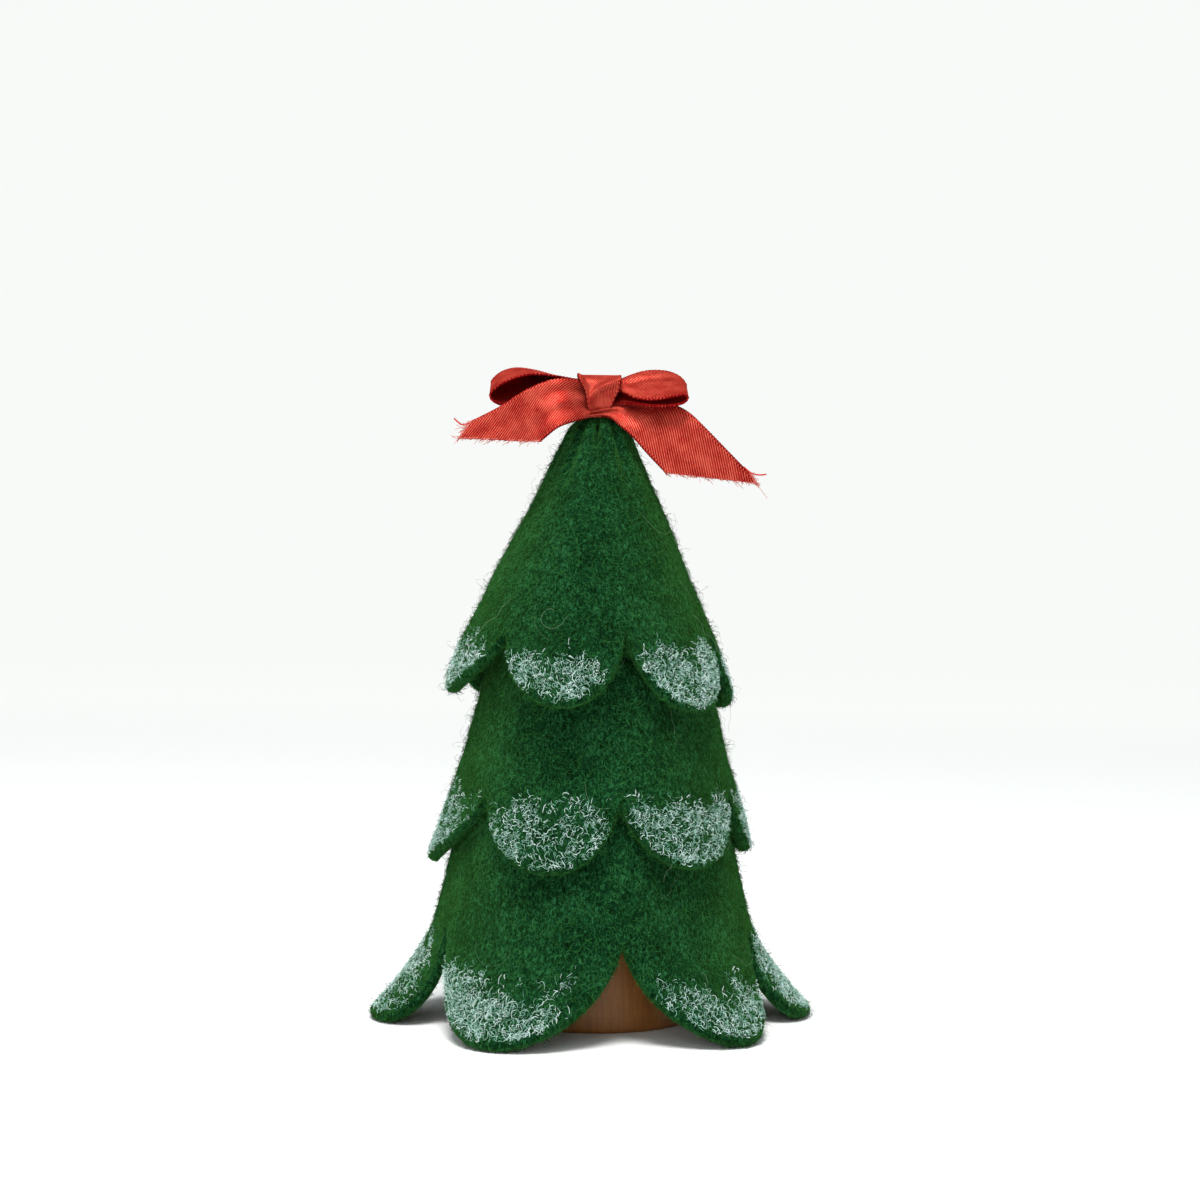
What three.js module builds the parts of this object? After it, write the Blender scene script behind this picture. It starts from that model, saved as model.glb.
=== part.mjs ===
// A small felt Christmas tree. Three scalloped felt tiers hang round a turned wooden body, white wool is
// needled onto every lobe as snow, and a satin ribbon bow sits on the tip.
// Millimetres, +Z up. The origin is the middle of the wooden foot, and the tree is seen from -Y.
// Angles round the tree start at the front (-Y) and run towards +X.
import * as THREE from "three";

// Driving dimensions

// Wooden body
const FOOT_RADIUS = 19.2;
const FOOT_ROUND = 0.9; // round along the foot's edge
const SHOULDER_REACH = 9; // how far the shoulder's curve runs up the tip
const WOOD_SIDES = 48;
const FOOT_STEPS = 4;
const SHOULDER_STEPS = 6;

// Felt
const FELT = 2.2; // thickness of the felt
const TREE_HEIGHT = 106.7; // table to the top of the felt tip
const TIP_DOME = 6.6; // radius of the rounded felt tip
const TOP_SLOPE = 0.457; // radius gained for each millimetre down
const MIDDLE_SLOPE = 0.28;
const BOTTOM_STEEPER = 0.025; // how much steeper the bottom tier hangs than the middle one
const TOP_SKEW = -0.04; // the top tier hangs over towards -X by this much for each millimetre down
const MIDDLE_COLLAR_Z = 70;
const BOTTOM_COLLAR_Z = 50;
const TOP_NOTCH_Z = 68; // where the notches between the lobes end
const MIDDLE_NOTCH_Z = 39.5;
const BOTTOM_NOTCH_Z = 16.2;
const NEST_GAP = 0.4; // between a collar and the tier over it
const GLUE_GAP = 0.3; // between the felt and the wood that carries it
const TABLE_GAP = 0.3; // between the lowest hem and the table

// Lobes, cut by hand. Every list starts at the front left lobe and runs towards +X. A lobe's own notch is the
// one on its +X side.
const TOP_NOTCHES = [17, 74, 132, 191, 252, 319]; // degrees
const MIDDLE_NOTCHES = [10, 68, 131, 190, 251, 313];
const BOTTOM_NOTCHES = [10.5, 74, 133, 190, 248, 296.5];
const TOP_TIPS = [56.8, 55.5, 54.6, 56, 56, 57.2]; // height of each lobe's lowest point
const MIDDLE_TIPS = [28.6, 29.2, 29, 28.6, 28.8, 27.4];
const BOTTOM_TIP = 1.3; // the bottom lobes all end at the table
const TOP_FLARES = [0.4, -0.4, -1.8, 0.2, 0.4, -1.8]; // how far each tip bends out of the cone
const MIDDLE_FLARES = [0.6, 0.4, -0.2, 0.7, 0.4, 1];
const BOTTOM_FLARES = [7.4, 7, 7.2, 6.6, 7, 7.8];
const TOP_LEANS = [3, 2, 0, 0, 0, -6]; // degrees that each tip leans round the tree
const MIDDLE_LEANS = [2, 0, 0, 0, 0, -9];
const BOTTOM_LEANS = [0, 1, -13, 0, 0, 10];
const TOP_FULLNESS = [2.2, 2.2, 2.2, 2.2, 2.2, 1.5]; // a low power gives a narrow tongue, a high one a broad lobe
const MIDDLE_FULLNESS = [2.2, 2.2, 2.2, 2.2, 2.2, 1.3];
const BOTTOM_FULLNESS = [2.2, 2.2, 3.5, 2.2, 2.2, 4];
const LOBE_ROUNDNESS = 0.8; // power that rounds the ends of the lobes
const FLARE_POWER = 1.8; // how late a lobe starts to bend out and to lean
const LEAN_POWER = 1.5;
const FLARE_SPREAD = 2; // how wide the part of a lobe is that bends out
const LOBE_ROOT = 4; // height above the notches where the finer rows of the lobes start
const LOBE_STEPS = 10;
const CONE_ROWS = 2;
const LOBE_ROWS = 5;
const DOME_ROWS = 3;

// Snow
const SNOW_GAP = 0.3;
const SNOW_THICKNESS = 0.4;
const SNOW_BARE_STEPS = 2; // steps of the lobe that stay bare at each side
const SNOW_BELOW_NOTCH = 1;
const SNOW_RIM = 1.4; // bare felt along the hem
const SNOW_ROWS = 4;

// Seam thread
const THREAD = 0.5;
const THREAD_GAP = 0.3;
const STITCH_PITCH = 3.2;
const STITCH_BREADTH = 3;
const SEAM_END = 0.8; // between a seam's end and the hem below or the hem above
const SEAM_INDEX = Math.floor(TOP_NOTCHES.length / 2); // the notch at the back where each seam starts
const THREAD_SIDES = 6;
const STEPS_PER_STITCH = 4;

// Bow
const RIBBON_WIDTH = 10;
const RIBBON_THICKNESS = 0.4;
const SEAT_GAP = 0.3; // between the knot and what it touches
const KNOT_WIDTH = 8;
const KNOT_HEIGHT = 6.3;
const KNOT_DEPTH = 7.6;
const KNOT_FOOT = 2.4; // breadth of the knot where it sits on the felt
const KNOT_ROUND = 0.7;
const KNOT_ROUND_STEPS = 3;
const KNOT_FORWARD = 0.6; // the knot sits this far in front of the axis
const LEFT_REACH = 19.8;
const RIGHT_REACH = 15.6;
const LEFT_OPENING = 5;
const RIGHT_OPENING = 2.6;
const LOOP_RISE = 1.1; // height of the loops' middle above the knot's middle
const LEFT_LOOP_BACK = 0.8; // how far the loops stand behind the knot's middle
const RIGHT_LOOP_BACK = 0.4;
const TAIL_GAP = 1; // between the left loop and the tail that hangs before it
const RIGHT_TAIL_TUCK = 0.6; // how far behind the knot's front the right tail leaves it
const RIBBON_STEPS = 24;

// A loop leaves the knot, turns round at its reach and comes back below. Each row gives a share of the reach,
// of half the opening, and of the ribbon's width.
const LOOP_COURSE = [
  [0, 0.45, 0.45],
  [0.25, 0.95, 0.9],
  [0.58, 1, 1],
  [0.88, 0.7, 1],
  [1, 0, 1],
  [0.88, -0.8, 1],
  [0.58, -0.75, 1],
  [0.25, -0.55, 0.9],
  [0, -0.45, 0.45],
];

// The tails, from the knot outwards. Each row gives the way out sideways, the way forward, the height and the
// share of the ribbon's width. The first row is gathered at the knot, and the last one lies along the cut.
const LEFT_TAIL = [
  [0.6, -2.4, -0.6, 0.34],
  [2.2, -0.8, -1.8, 0.7],
  [5.2, 1, -3.5, 0.95],
  [8.8, 1.6, -5.5, 1],
  [13.1, 1.6, -7.6, 1.34],
];
const RIGHT_TAIL = [
  [-0.1, 0, 0.15, 0.27],
  [2.9, -0.5, -0.8, 0.66],
  [6.6, -1.3, -2.4, 0.96],
  [11.9, -1.2, -7.2, 1],
  [16.6, -0.6, -11, 1.56],
];

// The way across each ribbon. A tail has its own way at the knot, along its length and along its cut.
const LEFT_LOOP_ACROSS = [0, -0.93, -0.37];
const RIGHT_LOOP_ACROSS = [0, -0.84, -0.54];
const LEFT_TAIL_ACROSS = { knot: [-0.05, 0.1, 1], length: [-0.48, 0.34, 0.81], cut: [-0.97, 0.1, 0.2] };
const RIGHT_TAIL_ACROSS = { knot: [0.68, 0.3, 0.66], length: [0.63, 0.36, 0.69], cut: [0.99, 0.1, -0.04] };

// Directions and points

const radial = (angle, radius, z) => new THREE.Vector3(Math.sin(angle) * radius, -Math.cos(angle) * radius, z);

// Solids from sheets

// A closed solid from sections that each hold a front and a back row of points. A ring joins its last section
// to its first one, and any other sheet is closed at both ends.
function sheetSolid(sections, isRing) {
  const corners = [];
  const triangle = (a, b, c) => {
    const isFlat = a.equals(b) || b.equals(c) || c.equals(a);
    if (!isFlat) corners.push(a, b, c);
  };
  const quad = (a, b, c, d) => {
    triangle(a, b, c);
    triangle(a, c, d);
  };
  const last = sections[0].front.length - 1;
  const spans = isRing ? sections.length : sections.length - 1;
  for (let i = 0; i < spans; i++) {
    const here = sections[i];
    const next = sections[(i + 1) % sections.length];
    for (let j = 0; j < last; j++) {
      quad(here.front[j], here.front[j + 1], next.front[j + 1], next.front[j]);
      quad(here.back[j + 1], here.back[j], next.back[j], next.back[j + 1]);
    }
    quad(here.back[0], here.front[0], next.front[0], next.back[0]);
    quad(here.front[last], here.back[last], next.back[last], next.front[last]);
  }
  if (!isRing) {
    const first = sections[0];
    const end = sections[sections.length - 1];
    for (let j = 0; j < last; j++) {
      quad(first.front[j + 1], first.front[j], first.back[j], first.back[j + 1]);
      quad(end.front[j], end.front[j + 1], end.back[j + 1], end.back[j]);
    }
  }
  return facingOut(new THREE.BufferGeometry().setFromPoints(corners));
}

// Turns the faces round if they enclose a negative volume.
function facingOut(geometry) {
  const place = geometry.getAttribute("position");
  const [a, b, c] = [new THREE.Vector3(), new THREE.Vector3(), new THREE.Vector3()];
  let volume = 0;
  for (let i = 0; i < place.count; i += 3) {
    a.fromBufferAttribute(place, i);
    b.fromBufferAttribute(place, i + 1);
    c.fromBufferAttribute(place, i + 2);
    volume += a.dot(b.clone().cross(c)) / 6;
  }
  if (volume < 0) {
    for (let i = 0; i < place.count; i += 3) {
      b.fromBufferAttribute(place, i + 1);
      c.fromBufferAttribute(place, i + 2);
      place.setXYZ(i + 1, c.x, c.y, c.z);
      place.setXYZ(i + 2, b.x, b.y, b.z);
    }
  }
  geometry.computeVertexNormals();
  return geometry;
}

// Felt tiers

// The lobes between notches, each with its middle and half its breadth as angles.
function lobesBetween(notches, tips, flares, leans, fullness) {
  return notches.map((notch, i) => {
    const before = i ? notches[i - 1] : notches[notches.length - 1] - 360;
    return {
      middle: THREE.MathUtils.degToRad((before + notch) / 2),
      half: THREE.MathUtils.degToRad((notch - before) / 2),
      tip: tips[i],
      flare: flares[i],
      lean: THREE.MathUtils.degToRad(leans[i]),
      fullness: fullness[i],
    };
  });
}

// A tier's felt as a function of a lobe, the place across that lobe from -1 to 1, and the height. It is a cone
// whose lobes bend out and lean aside below the notches.
function tier({ name, slope, skew, startZ, startRadius, notchZ, lobes }) {
  const coneRadius = (z) => startRadius + slope * (startZ - z);
  // The least radius inside the felt at a height above the notches.
  const room = (z) => coneRadius(z) - FELT * Math.hypot(1, slope) - Math.abs(skew) * (startZ - z);
  const edgeZ = (lobe, across) => {
    const share = Math.max(0, 1 - Math.abs(across) ** lobe.fullness) ** LOBE_ROUNDNESS;
    return notchZ - (notchZ - lobe.tip) * share;
  };
  const outer = (lobe, across, z) => {
    const drop = Math.max(0, (notchZ - z) / (notchZ - lobe.tip));
    const aside = lobe.half * across;
    const lean = lobe.lean * drop ** LEAN_POWER;
    const angle = lobe.middle + aside + lean;
    const towards = lobe.middle + aside * Math.abs(across) + lean;
    const spread = 1 - Math.min(1, Math.abs(across)) ** FLARE_SPREAD;
    const flare = lobe.flare * drop ** FLARE_POWER * spread;
    const point = radial(angle, coneRadius(z), z).add(radial(towards, flare, 0));
    point.x += skew * (startZ - z);
    return point;
  };
  const normal = (lobe, across, z) => {
    const step = 1e-3;
    const round = outer(lobe, across + step, z).sub(outer(lobe, across - step, z));
    const up = outer(lobe, across, z + step).sub(outer(lobe, across, z - step));
    return round.cross(up).normalize();
  };
  // A point at a depth under the outer face. A negative depth stands proud of it.
  const under = (lobe, across, z, depth) => {
    const point = outer(lobe, across, z).addScaledVector(normal(lobe, across, z), -depth);
    point.z = Math.max(point.z, TABLE_GAP);
    return point;
  };
  return { name, startZ, notchZ, lobes, coneRadius, room, edgeZ, under };
}

// The places across a lobe where its columns stand, closer together near the notches.
const columnAcross = (step) => -Math.cos((Math.PI * step) / LOBE_STEPS);

// The felt tip is a dome that the top tier's cone leaves at a tangent.
const TIP_ANGLE = Math.atan(TOP_SLOPE);
const DOME_Z = TREE_HEIGHT - TIP_DOME;
const TANGENT_Z = DOME_Z + TIP_DOME * Math.sin(TIP_ANGLE);
const DOME_SPREAD = Math.PI / 2 - TIP_ANGLE;

const top = tier({
  name: "top",
  slope: TOP_SLOPE,
  skew: TOP_SKEW,
  startZ: TANGENT_Z,
  startRadius: TIP_DOME * Math.cos(TIP_ANGLE),
  notchZ: TOP_NOTCH_Z,
  lobes: lobesBetween(TOP_NOTCHES, TOP_TIPS, TOP_FLARES, TOP_LEANS, TOP_FULLNESS),
});

const middle = tier({
  name: "middle",
  slope: MIDDLE_SLOPE,
  skew: 0,
  startZ: MIDDLE_COLLAR_Z,
  startRadius: top.room(MIDDLE_COLLAR_Z) - NEST_GAP,
  notchZ: MIDDLE_NOTCH_Z,
  lobes: lobesBetween(MIDDLE_NOTCHES, MIDDLE_TIPS, MIDDLE_FLARES, MIDDLE_LEANS, MIDDLE_FULLNESS),
});

const bottom = tier({
  name: "bottom",
  slope: MIDDLE_SLOPE - BOTTOM_STEEPER,
  skew: 0,
  startZ: BOTTOM_COLLAR_Z,
  startRadius: middle.room(BOTTOM_COLLAR_Z) - NEST_GAP,
  notchZ: BOTTOM_NOTCH_Z,
  lobes: lobesBetween(
    BOTTOM_NOTCHES,
    BOTTOM_NOTCHES.map(() => BOTTOM_TIP),
    BOTTOM_FLARES,
    BOTTOM_LEANS,
    BOTTOM_FULLNESS,
  ),
});

const domePoint = (angle, share, depth) => {
  const lean = DOME_SPREAD * share;
  const radius = TIP_DOME - depth;
  return radial(angle, radius * Math.sin(lean), DOME_Z + radius * Math.cos(lean));
};

// The heights of a tier's rows: a few down the plain cone, then closer ones down the lobe.
function rowHeights(shape, lobe, across) {
  const root = shape.notchZ + LOBE_ROOT;
  const heights = [];
  for (let j = 0; j < CONE_ROWS; j++) {
    heights.push(THREE.MathUtils.lerp(shape.startZ, root, j / CONE_ROWS));
  }
  for (let j = 0; j <= LOBE_ROWS; j++) {
    heights.push(THREE.MathUtils.lerp(root, shape.edgeZ(lobe, across), j / LOBE_ROWS));
  }
  return heights;
}

function tierSection(shape, isTip, lobe, across) {
  const section = { front: [], back: [] };
  for (let j = 0; isTip && j < DOME_ROWS; j++) {
    const angle = lobe.middle + lobe.half * across;
    section.front.push(domePoint(angle, j / DOME_ROWS, 0));
    section.back.push(domePoint(angle, j / DOME_ROWS, FELT));
  }
  for (const z of rowHeights(shape, lobe, across)) {
    section.front.push(shape.under(lobe, across, z, 0));
    section.back.push(shape.under(lobe, across, z, FELT));
  }
  return section;
}

function tierSolid(shape, isTip) {
  const sections = [];
  for (const lobe of shape.lobes) {
    for (let i = 0; i < LOBE_STEPS; i++) {
      sections.push(tierSection(shape, isTip, lobe, columnAcross(i)));
    }
  }
  return sheetSolid(sections, true);
}

// Wooden body

// Where a tier's collar is glued: a point on the wood, just inside the collar's inner edge.
function collarSeat(shape) {
  const edge = shape.under(shape.lobes[0], 0, shape.startZ, FELT + GLUE_GAP);
  return new THREE.Vector2(Math.hypot(edge.x, edge.y), edge.z);
}

// The turned outline runs straight from the foot past both collars, then bends over a shoulder into the tip.
function woodenBody() {
  const lowSeat = collarSeat(bottom);
  const highSeat = collarSeat(middle);
  const domeRadius = TIP_DOME - FELT - GLUE_GAP;
  const tipStart = new THREE.Vector2(Math.cos(TIP_ANGLE), Math.sin(TIP_ANGLE)).multiplyScalar(domeRadius);
  tipStart.y += DOME_Z;
  const tipSlope = TOP_SLOPE - Math.abs(TOP_SKEW);
  const sideSlope = (highSeat.x - lowSeat.x) / (highSeat.y - lowSeat.y);
  const drop = (highSeat.x - tipStart.x + sideSlope * (tipStart.y - highSeat.y)) / (tipSlope + sideSlope);
  const corner = new THREE.Vector2(tipStart.x + tipSlope * drop, tipStart.y - drop);
  const shoulderEnd = new THREE.Vector2(corner.x - tipSlope * SHOULDER_REACH, corner.y + SHOULDER_REACH);
  const foot = new THREE.Path().absarc(FOOT_RADIUS - FOOT_ROUND, FOOT_ROUND, FOOT_ROUND, -Math.PI / 2, 0);
  const shoulder = new THREE.QuadraticBezierCurve(highSeat, corner, shoulderEnd);
  const tip = new THREE.Path().absarc(0, DOME_Z, domeRadius, TIP_ANGLE, Math.PI / 2);
  const outline = [new THREE.Vector2(0, 0), ...foot.getPoints(FOOT_STEPS), lowSeat];
  outline.push(...shoulder.getPoints(SHOULDER_STEPS), ...tip.getPoints(DOME_ROWS).slice(0, -1));
  outline.push(new THREE.Vector2(0, DOME_Z + domeRadius));
  return new THREE.LatheGeometry(outline, WOOD_SIDES).rotateX(Math.PI / 2);
}

// Snow

// A thin pad over one lobe, from just below the notches to just above the hem.
function snowSolid(shape, lobe) {
  const high = shape.notchZ - SNOW_BELOW_NOTCH;
  const sections = [];
  for (let i = SNOW_BARE_STEPS; i <= LOBE_STEPS - SNOW_BARE_STEPS; i++) {
    const across = columnAcross(i);
    const low = shape.edgeZ(lobe, across) + SNOW_RIM;
    const section = { front: [], back: [] };
    for (let j = 0; j <= SNOW_ROWS; j++) {
      const z = THREE.MathUtils.lerp(high, low, j / SNOW_ROWS);
      section.front.push(shape.under(lobe, across, z, -SNOW_GAP - SNOW_THICKNESS));
      section.back.push(shape.under(lobe, across, z, -SNOW_GAP));
    }
    sections.push(section);
  }
  return sheetSolid(sections, false);
}

// Seam thread

// One thread that crosses the seam from side to side. It is laid on the felt from just above the tier's own
// notch up to the hem of the tier over it, or up to the tip.
function seamSolid(shape, over) {
  const lobe = shape.lobes[SEAM_INDEX];
  const breadth = (z) => STITCH_BREADTH / (shape.coneRadius(z) * lobe.half);
  const low = shape.notchZ + SEAM_END;
  let high = shape.startZ - SEAM_END;
  if (over) {
    const lobeOver = over.lobes[SEAM_INDEX];
    const clear = 1 - STITCH_BREADTH / (over.coneRadius(over.notchZ) * lobeOver.half);
    high = over.edgeZ(lobeOver, clear) - SEAM_END;
  }
  const stitches = Math.max(2, Math.round((2 * (high - low)) / STITCH_PITCH));
  const points = [];
  for (let i = 0; i <= stitches; i++) {
    const z = THREE.MathUtils.lerp(low, high, i / stitches);
    const side = i % 2 ? 0.5 : -0.5;
    points.push(shape.under(lobe, 1 + side * breadth(z), z, -THREAD_GAP - THREAD / 2));
  }
  const section = new THREE.Shape().absarc(0, 0, THREAD / 2, 0, 2 * Math.PI);
  return new THREE.ExtrudeGeometry(section, {
    steps: stitches * STEPS_PER_STITCH,
    extrudePath: new THREE.CatmullRomCurve3(points),
    curveSegments: THREAD_SIDES / 2,
  });
}

// Bow, round the middle of the knot

// A station on a ribbon: its middle, the way across it, and its breadth as a share of the ribbon's width.
function station(x, y, z, across, share) {
  const half = new THREE.Vector3(...across).setLength((share * RIBBON_WIDTH) / 2);
  return { at: new THREE.Vector3(x, y, z), half };
}

function ribbonSolid(stations) {
  const line = new THREE.CatmullRomCurve3(stations.map((stop) => stop.at));
  const breadth = new THREE.CatmullRomCurve3(stations.map((stop) => stop.half));
  const sections = [];
  for (let i = 0; i <= RIBBON_STEPS; i++) {
    const share = i / RIBBON_STEPS;
    const at = line.getPoint(share);
    const half = breadth.getPoint(share);
    const lift = line.getTangent(share).cross(half).setLength(RIBBON_THICKNESS / 2);
    const edges = [at.clone().add(half), at.clone().sub(half)];
    sections.push({
      front: edges.map((edge) => edge.clone().add(lift)),
      back: edges.map((edge) => edge.clone().sub(lift)),
    });
  }
  return sheetSolid(sections, false);
}

function loopSolid(side, reach, opening, back, across) {
  const start = KNOT_WIDTH / 2 + SEAT_GAP;
  const stations = LOOP_COURSE.map(([out, height, share]) => {
    const x = side * THREE.MathUtils.lerp(start, reach, out);
    return station(x, back, LOOP_RISE + (height * opening) / 2, across, share);
  });
  return ribbonSolid(stations);
}

// A tail from rows of its course, measured from where it leaves the knot.
function tailSolid(side, leaves, rows, across) {
  const stations = rows.map(([out, forward, z, share], i) => {
    let way = across.length;
    if (i === 0) way = across.knot;
    if (i === rows.length - 1) way = across.cut;
    return station(leaves.x + side * out, leaves.y - forward, leaves.z + z, way, share);
  });
  return ribbonSolid(stations);
}

// The left tail leaves the knot's side and hangs in front of the left loop. The right one leaves the knot's
// underside and hangs beside the felt tip.
const LEFT_LEAVES = new THREE.Vector3(-KNOT_WIDTH / 2, LEFT_LOOP_BACK - RIBBON_WIDTH / 2 - TAIL_GAP, 0);
const RIGHT_LEAVES = new THREE.Vector3(KNOT_FOOT, RIGHT_TAIL_TUCK - KNOT_DEPTH / 2, -KNOT_HEIGHT / 2);

// The knot is broad above, where the loops leave it, and narrows to the foot that sits on the felt.
function knotSolid() {
  const half = KNOT_WIDTH / 2 - KNOT_ROUND;
  const high = KNOT_HEIGHT / 2 - KNOT_ROUND;
  const foot = KNOT_FOOT / 2;
  const outline = new THREE.Shape([
    new THREE.Vector2(-foot, -high),
    new THREE.Vector2(foot, -high),
    new THREE.Vector2(half, 0),
    new THREE.Vector2(half, high),
    new THREE.Vector2(-half, high),
    new THREE.Vector2(-half, 0),
  ]);
  const depth = KNOT_DEPTH - 2 * KNOT_ROUND;
  const solid = new THREE.ExtrudeGeometry(outline, {
    depth,
    bevelSize: KNOT_ROUND,
    bevelThickness: KNOT_ROUND,
    bevelSegments: KNOT_ROUND_STEPS,
  });
  return solid.rotateX(Math.PI / 2).translate(0, depth / 2, 0);
}

// Materials

const wood = new THREE.MeshStandardMaterial({ color: 0x5e4026, roughness: 0.55 });
const felt = new THREE.MeshStandardMaterial({ color: 0x1b4a26, roughness: 1 });
const wool = new THREE.MeshStandardMaterial({ color: 0xdfeae6, roughness: 1 });
const thread = new THREE.MeshStandardMaterial({ color: 0x163d20, roughness: 0.8 });
const satin = new THREE.MeshStandardMaterial({ color: 0xcd4236, roughness: 0.4 });

// Assembly

function named(name, geometry, material) {
  const mesh = new THREE.Mesh(geometry, material);
  mesh.name = name;
  return mesh;
}

const tree = new THREE.Group();
tree.add(named("wooden_body", woodenBody(), wood));

const tiers = [bottom, middle, top];
for (const [level, shape] of tiers.entries()) {
  tree.add(named(`felt_tier_${shape.name}`, tierSolid(shape, shape === top), felt));
  for (const [i, lobe] of shape.lobes.entries()) {
    tree.add(named(`snow_tuft_${shape.name}_${i + 1}`, snowSolid(shape, lobe), wool));
  }
  tree.add(named(`seam_thread_${shape.name}`, seamSolid(shape, tiers[level + 1]), thread));
}

const bow = new THREE.Group();
bow.position.set(0, -KNOT_FORWARD, TREE_HEIGHT + SEAT_GAP + KNOT_HEIGHT / 2);
bow.add(
  named("bow_knot", knotSolid(), satin),
  named("bow_loop_left", loopSolid(-1, LEFT_REACH, LEFT_OPENING, LEFT_LOOP_BACK, LEFT_LOOP_ACROSS), satin),
  named("bow_loop_right", loopSolid(1, RIGHT_REACH, RIGHT_OPENING, RIGHT_LOOP_BACK, RIGHT_LOOP_ACROSS), satin),
  named("bow_tail_left", tailSolid(-1, LEFT_LEAVES, LEFT_TAIL, LEFT_TAIL_ACROSS), satin),
  named("bow_tail_right", tailSolid(1, RIGHT_LEAVES, RIGHT_TAIL, RIGHT_TAIL_ACROSS), satin),
);
tree.add(bow);

export default tree;
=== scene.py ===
"""Dresses a small felt Christmas tree: matted felt, needled white wool, a satin bow and a turned wooden body.

Sizes are in millimetres and become metres when a mesh is made. Angles round the tree start at the front (-Y)
and run towards +X, and every list of lobes starts at the front left lobe, as in the CAD model.
"""
import math

import bmesh
import bpy
import numpy as np
from mathutils import Matrix, Vector, noise


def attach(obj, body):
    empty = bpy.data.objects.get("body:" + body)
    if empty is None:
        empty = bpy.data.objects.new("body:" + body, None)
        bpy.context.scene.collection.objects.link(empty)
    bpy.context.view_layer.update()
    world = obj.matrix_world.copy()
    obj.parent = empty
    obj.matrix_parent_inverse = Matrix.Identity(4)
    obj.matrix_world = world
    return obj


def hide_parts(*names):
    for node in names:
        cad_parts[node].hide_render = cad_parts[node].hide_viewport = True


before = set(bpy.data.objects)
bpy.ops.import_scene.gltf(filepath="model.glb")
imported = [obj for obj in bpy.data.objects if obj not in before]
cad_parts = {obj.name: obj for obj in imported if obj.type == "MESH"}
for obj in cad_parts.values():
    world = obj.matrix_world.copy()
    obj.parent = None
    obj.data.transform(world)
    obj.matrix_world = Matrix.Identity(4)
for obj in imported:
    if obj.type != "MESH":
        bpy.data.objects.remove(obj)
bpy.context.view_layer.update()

MM = 0.001
LEAST_LENGTH = 1e-12
SEED = 24

# Camera, matched to the photograph of 1200 x 1200 pixels

LENS = 72
SENSOR = 36
CAMERA_PLACE = (0.49, -426.3, 85.9)
CAMERA_PITCH = math.radians(-1.65)
CAMERA_ROLL = math.radians(0.8)

# Felt, as in the CAD model

FELT = 2.2
TREE_HEIGHT = 106.7
TIP_DOME = 6.6
TOP_SLOPE = 0.457
MIDDLE_SLOPE = 0.28
BOTTOM_STEEPER = 0.025
TOP_SKEW = -0.04
MIDDLE_COLLAR_Z = 70
BOTTOM_COLLAR_Z = 50
NEST_GAP = 0.4
GLUE_GAP = 0.3
TABLE_GAP = 0.3
LOBE_COUNT = 6
LOBE_ROUNDNESS = 0.8
FLARE_POWER = 1.8
LEAN_POWER = 1.5
FLARE_SPREAD = 2

TOP_LOBES = {
    "notch_z": 68,
    "notches": [17, 74, 132, 191, 252, 319],
    "tips": [56.8, 55.5, 54.6, 56, 56, 57.2],
    "flares": [0.4, -0.4, -1.8, 0.2, 0.4, -1.8],
    "leans": [3, 2, 0, 0, 0, -6],
    "fullness": [2.2, 2.2, 2.2, 2.2, 2.2, 1.5],
    "snow_tops": [0.2, 0.15, 0.2, 0.15, 0.2, 0.1],
    "snow_amounts": [1.1, 1.0, 0.9, 1, 1, 0.5],
    "snow_sides": [(-1, 0.55), (-0.85, 1), (-1, 1), (-0.9, 0.8), (-1, 1), (-1, 0.9)],
}
MIDDLE_LOBES = {
    "notch_z": 39.5,
    "notches": [10, 68, 131, 190, 251, 313],
    "tips": [28.6, 29.2, 29, 28.6, 28.8, 27.4],
    "flares": [0.6, 0.4, -0.2, 0.7, 0.4, 1],
    "leans": [2, 0, 0, 0, 0, -9],
    "fullness": [2.2, 2.2, 2.2, 2.2, 2.2, 1.3],
    "snow_tops": [-0.04, -0.08, -0.1, 0, -0.1, -0.1],
    "snow_amounts": [0.7, 0.95, 0.8, 0.9, 0.8, 0.55],
    "snow_sides": [(-0.9, 0.85), (-0.85, 1), (-1, 1), (-1, 0.8), (-0.8, 1), (-1, 0.9)],
}
BOTTOM_LOBES = {
    "notch_z": 16.2,
    "notches": [10.5, 74, 133, 190, 248, 296.5],
    "tips": [1.3] * LOBE_COUNT,
    "flares": [7.4, 7, 7.2, 6.6, 7, 7.8],
    "leans": [0, 1, -13, 0, 0, 10],
    "fullness": [2.2, 2.2, 3.5, 2.2, 2.2, 4],
    "snow_tops": [0.33, 0.4, 0.1, 0.2, 0.15, 0],
    "snow_amounts": [1.2, 1.0, 0.9, 0.9, 0.9, 0.75],
    "snow_sides": [(-1, 0.66), (-0.75, 1), (-1, 1), (-0.8, 0.9), (-1, 0.8), (-1, 0.7)],
}

# Finer felt surface

LOBE_COLUMNS = 28
CONE_ROWS = 22
LOBE_ROWS = 18
DOME_ROWS = 10
LOBE_ROOT = 4  # height above the notches where the rows of the lobes start
RIM_ROUND = 0.7  # how far the cut edge is rounded
RIM_STEPS = 5
RIM_START = -5.5  # of a measure that reaches 1 at the hem, and rounds the felt where it is above 0
HAND_WAVES = ((14, 0.35), (5, 0.16), (1.6, 0.07))  # breadth and height of the felt's unevenness
SEAM_INDEX = 3  # the notch at the back where each tier is sewn up
SEAM_GROOVE = {"depth": 0.5, "breadth": 0.6, "fade": 3}
GATHERS = 9  # grooves that gather the felt of the tip under the bow
GATHER_DEPTH = 1.7
GATHER_TOP = 104
GATHER_END = 91
GATHER_POWER = 1.5
GATHER_DRIFT = {"amount": 1.3, "count": 2, "phase": 0.8}  # spaces the grooves unevenly

# Fibres

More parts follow.
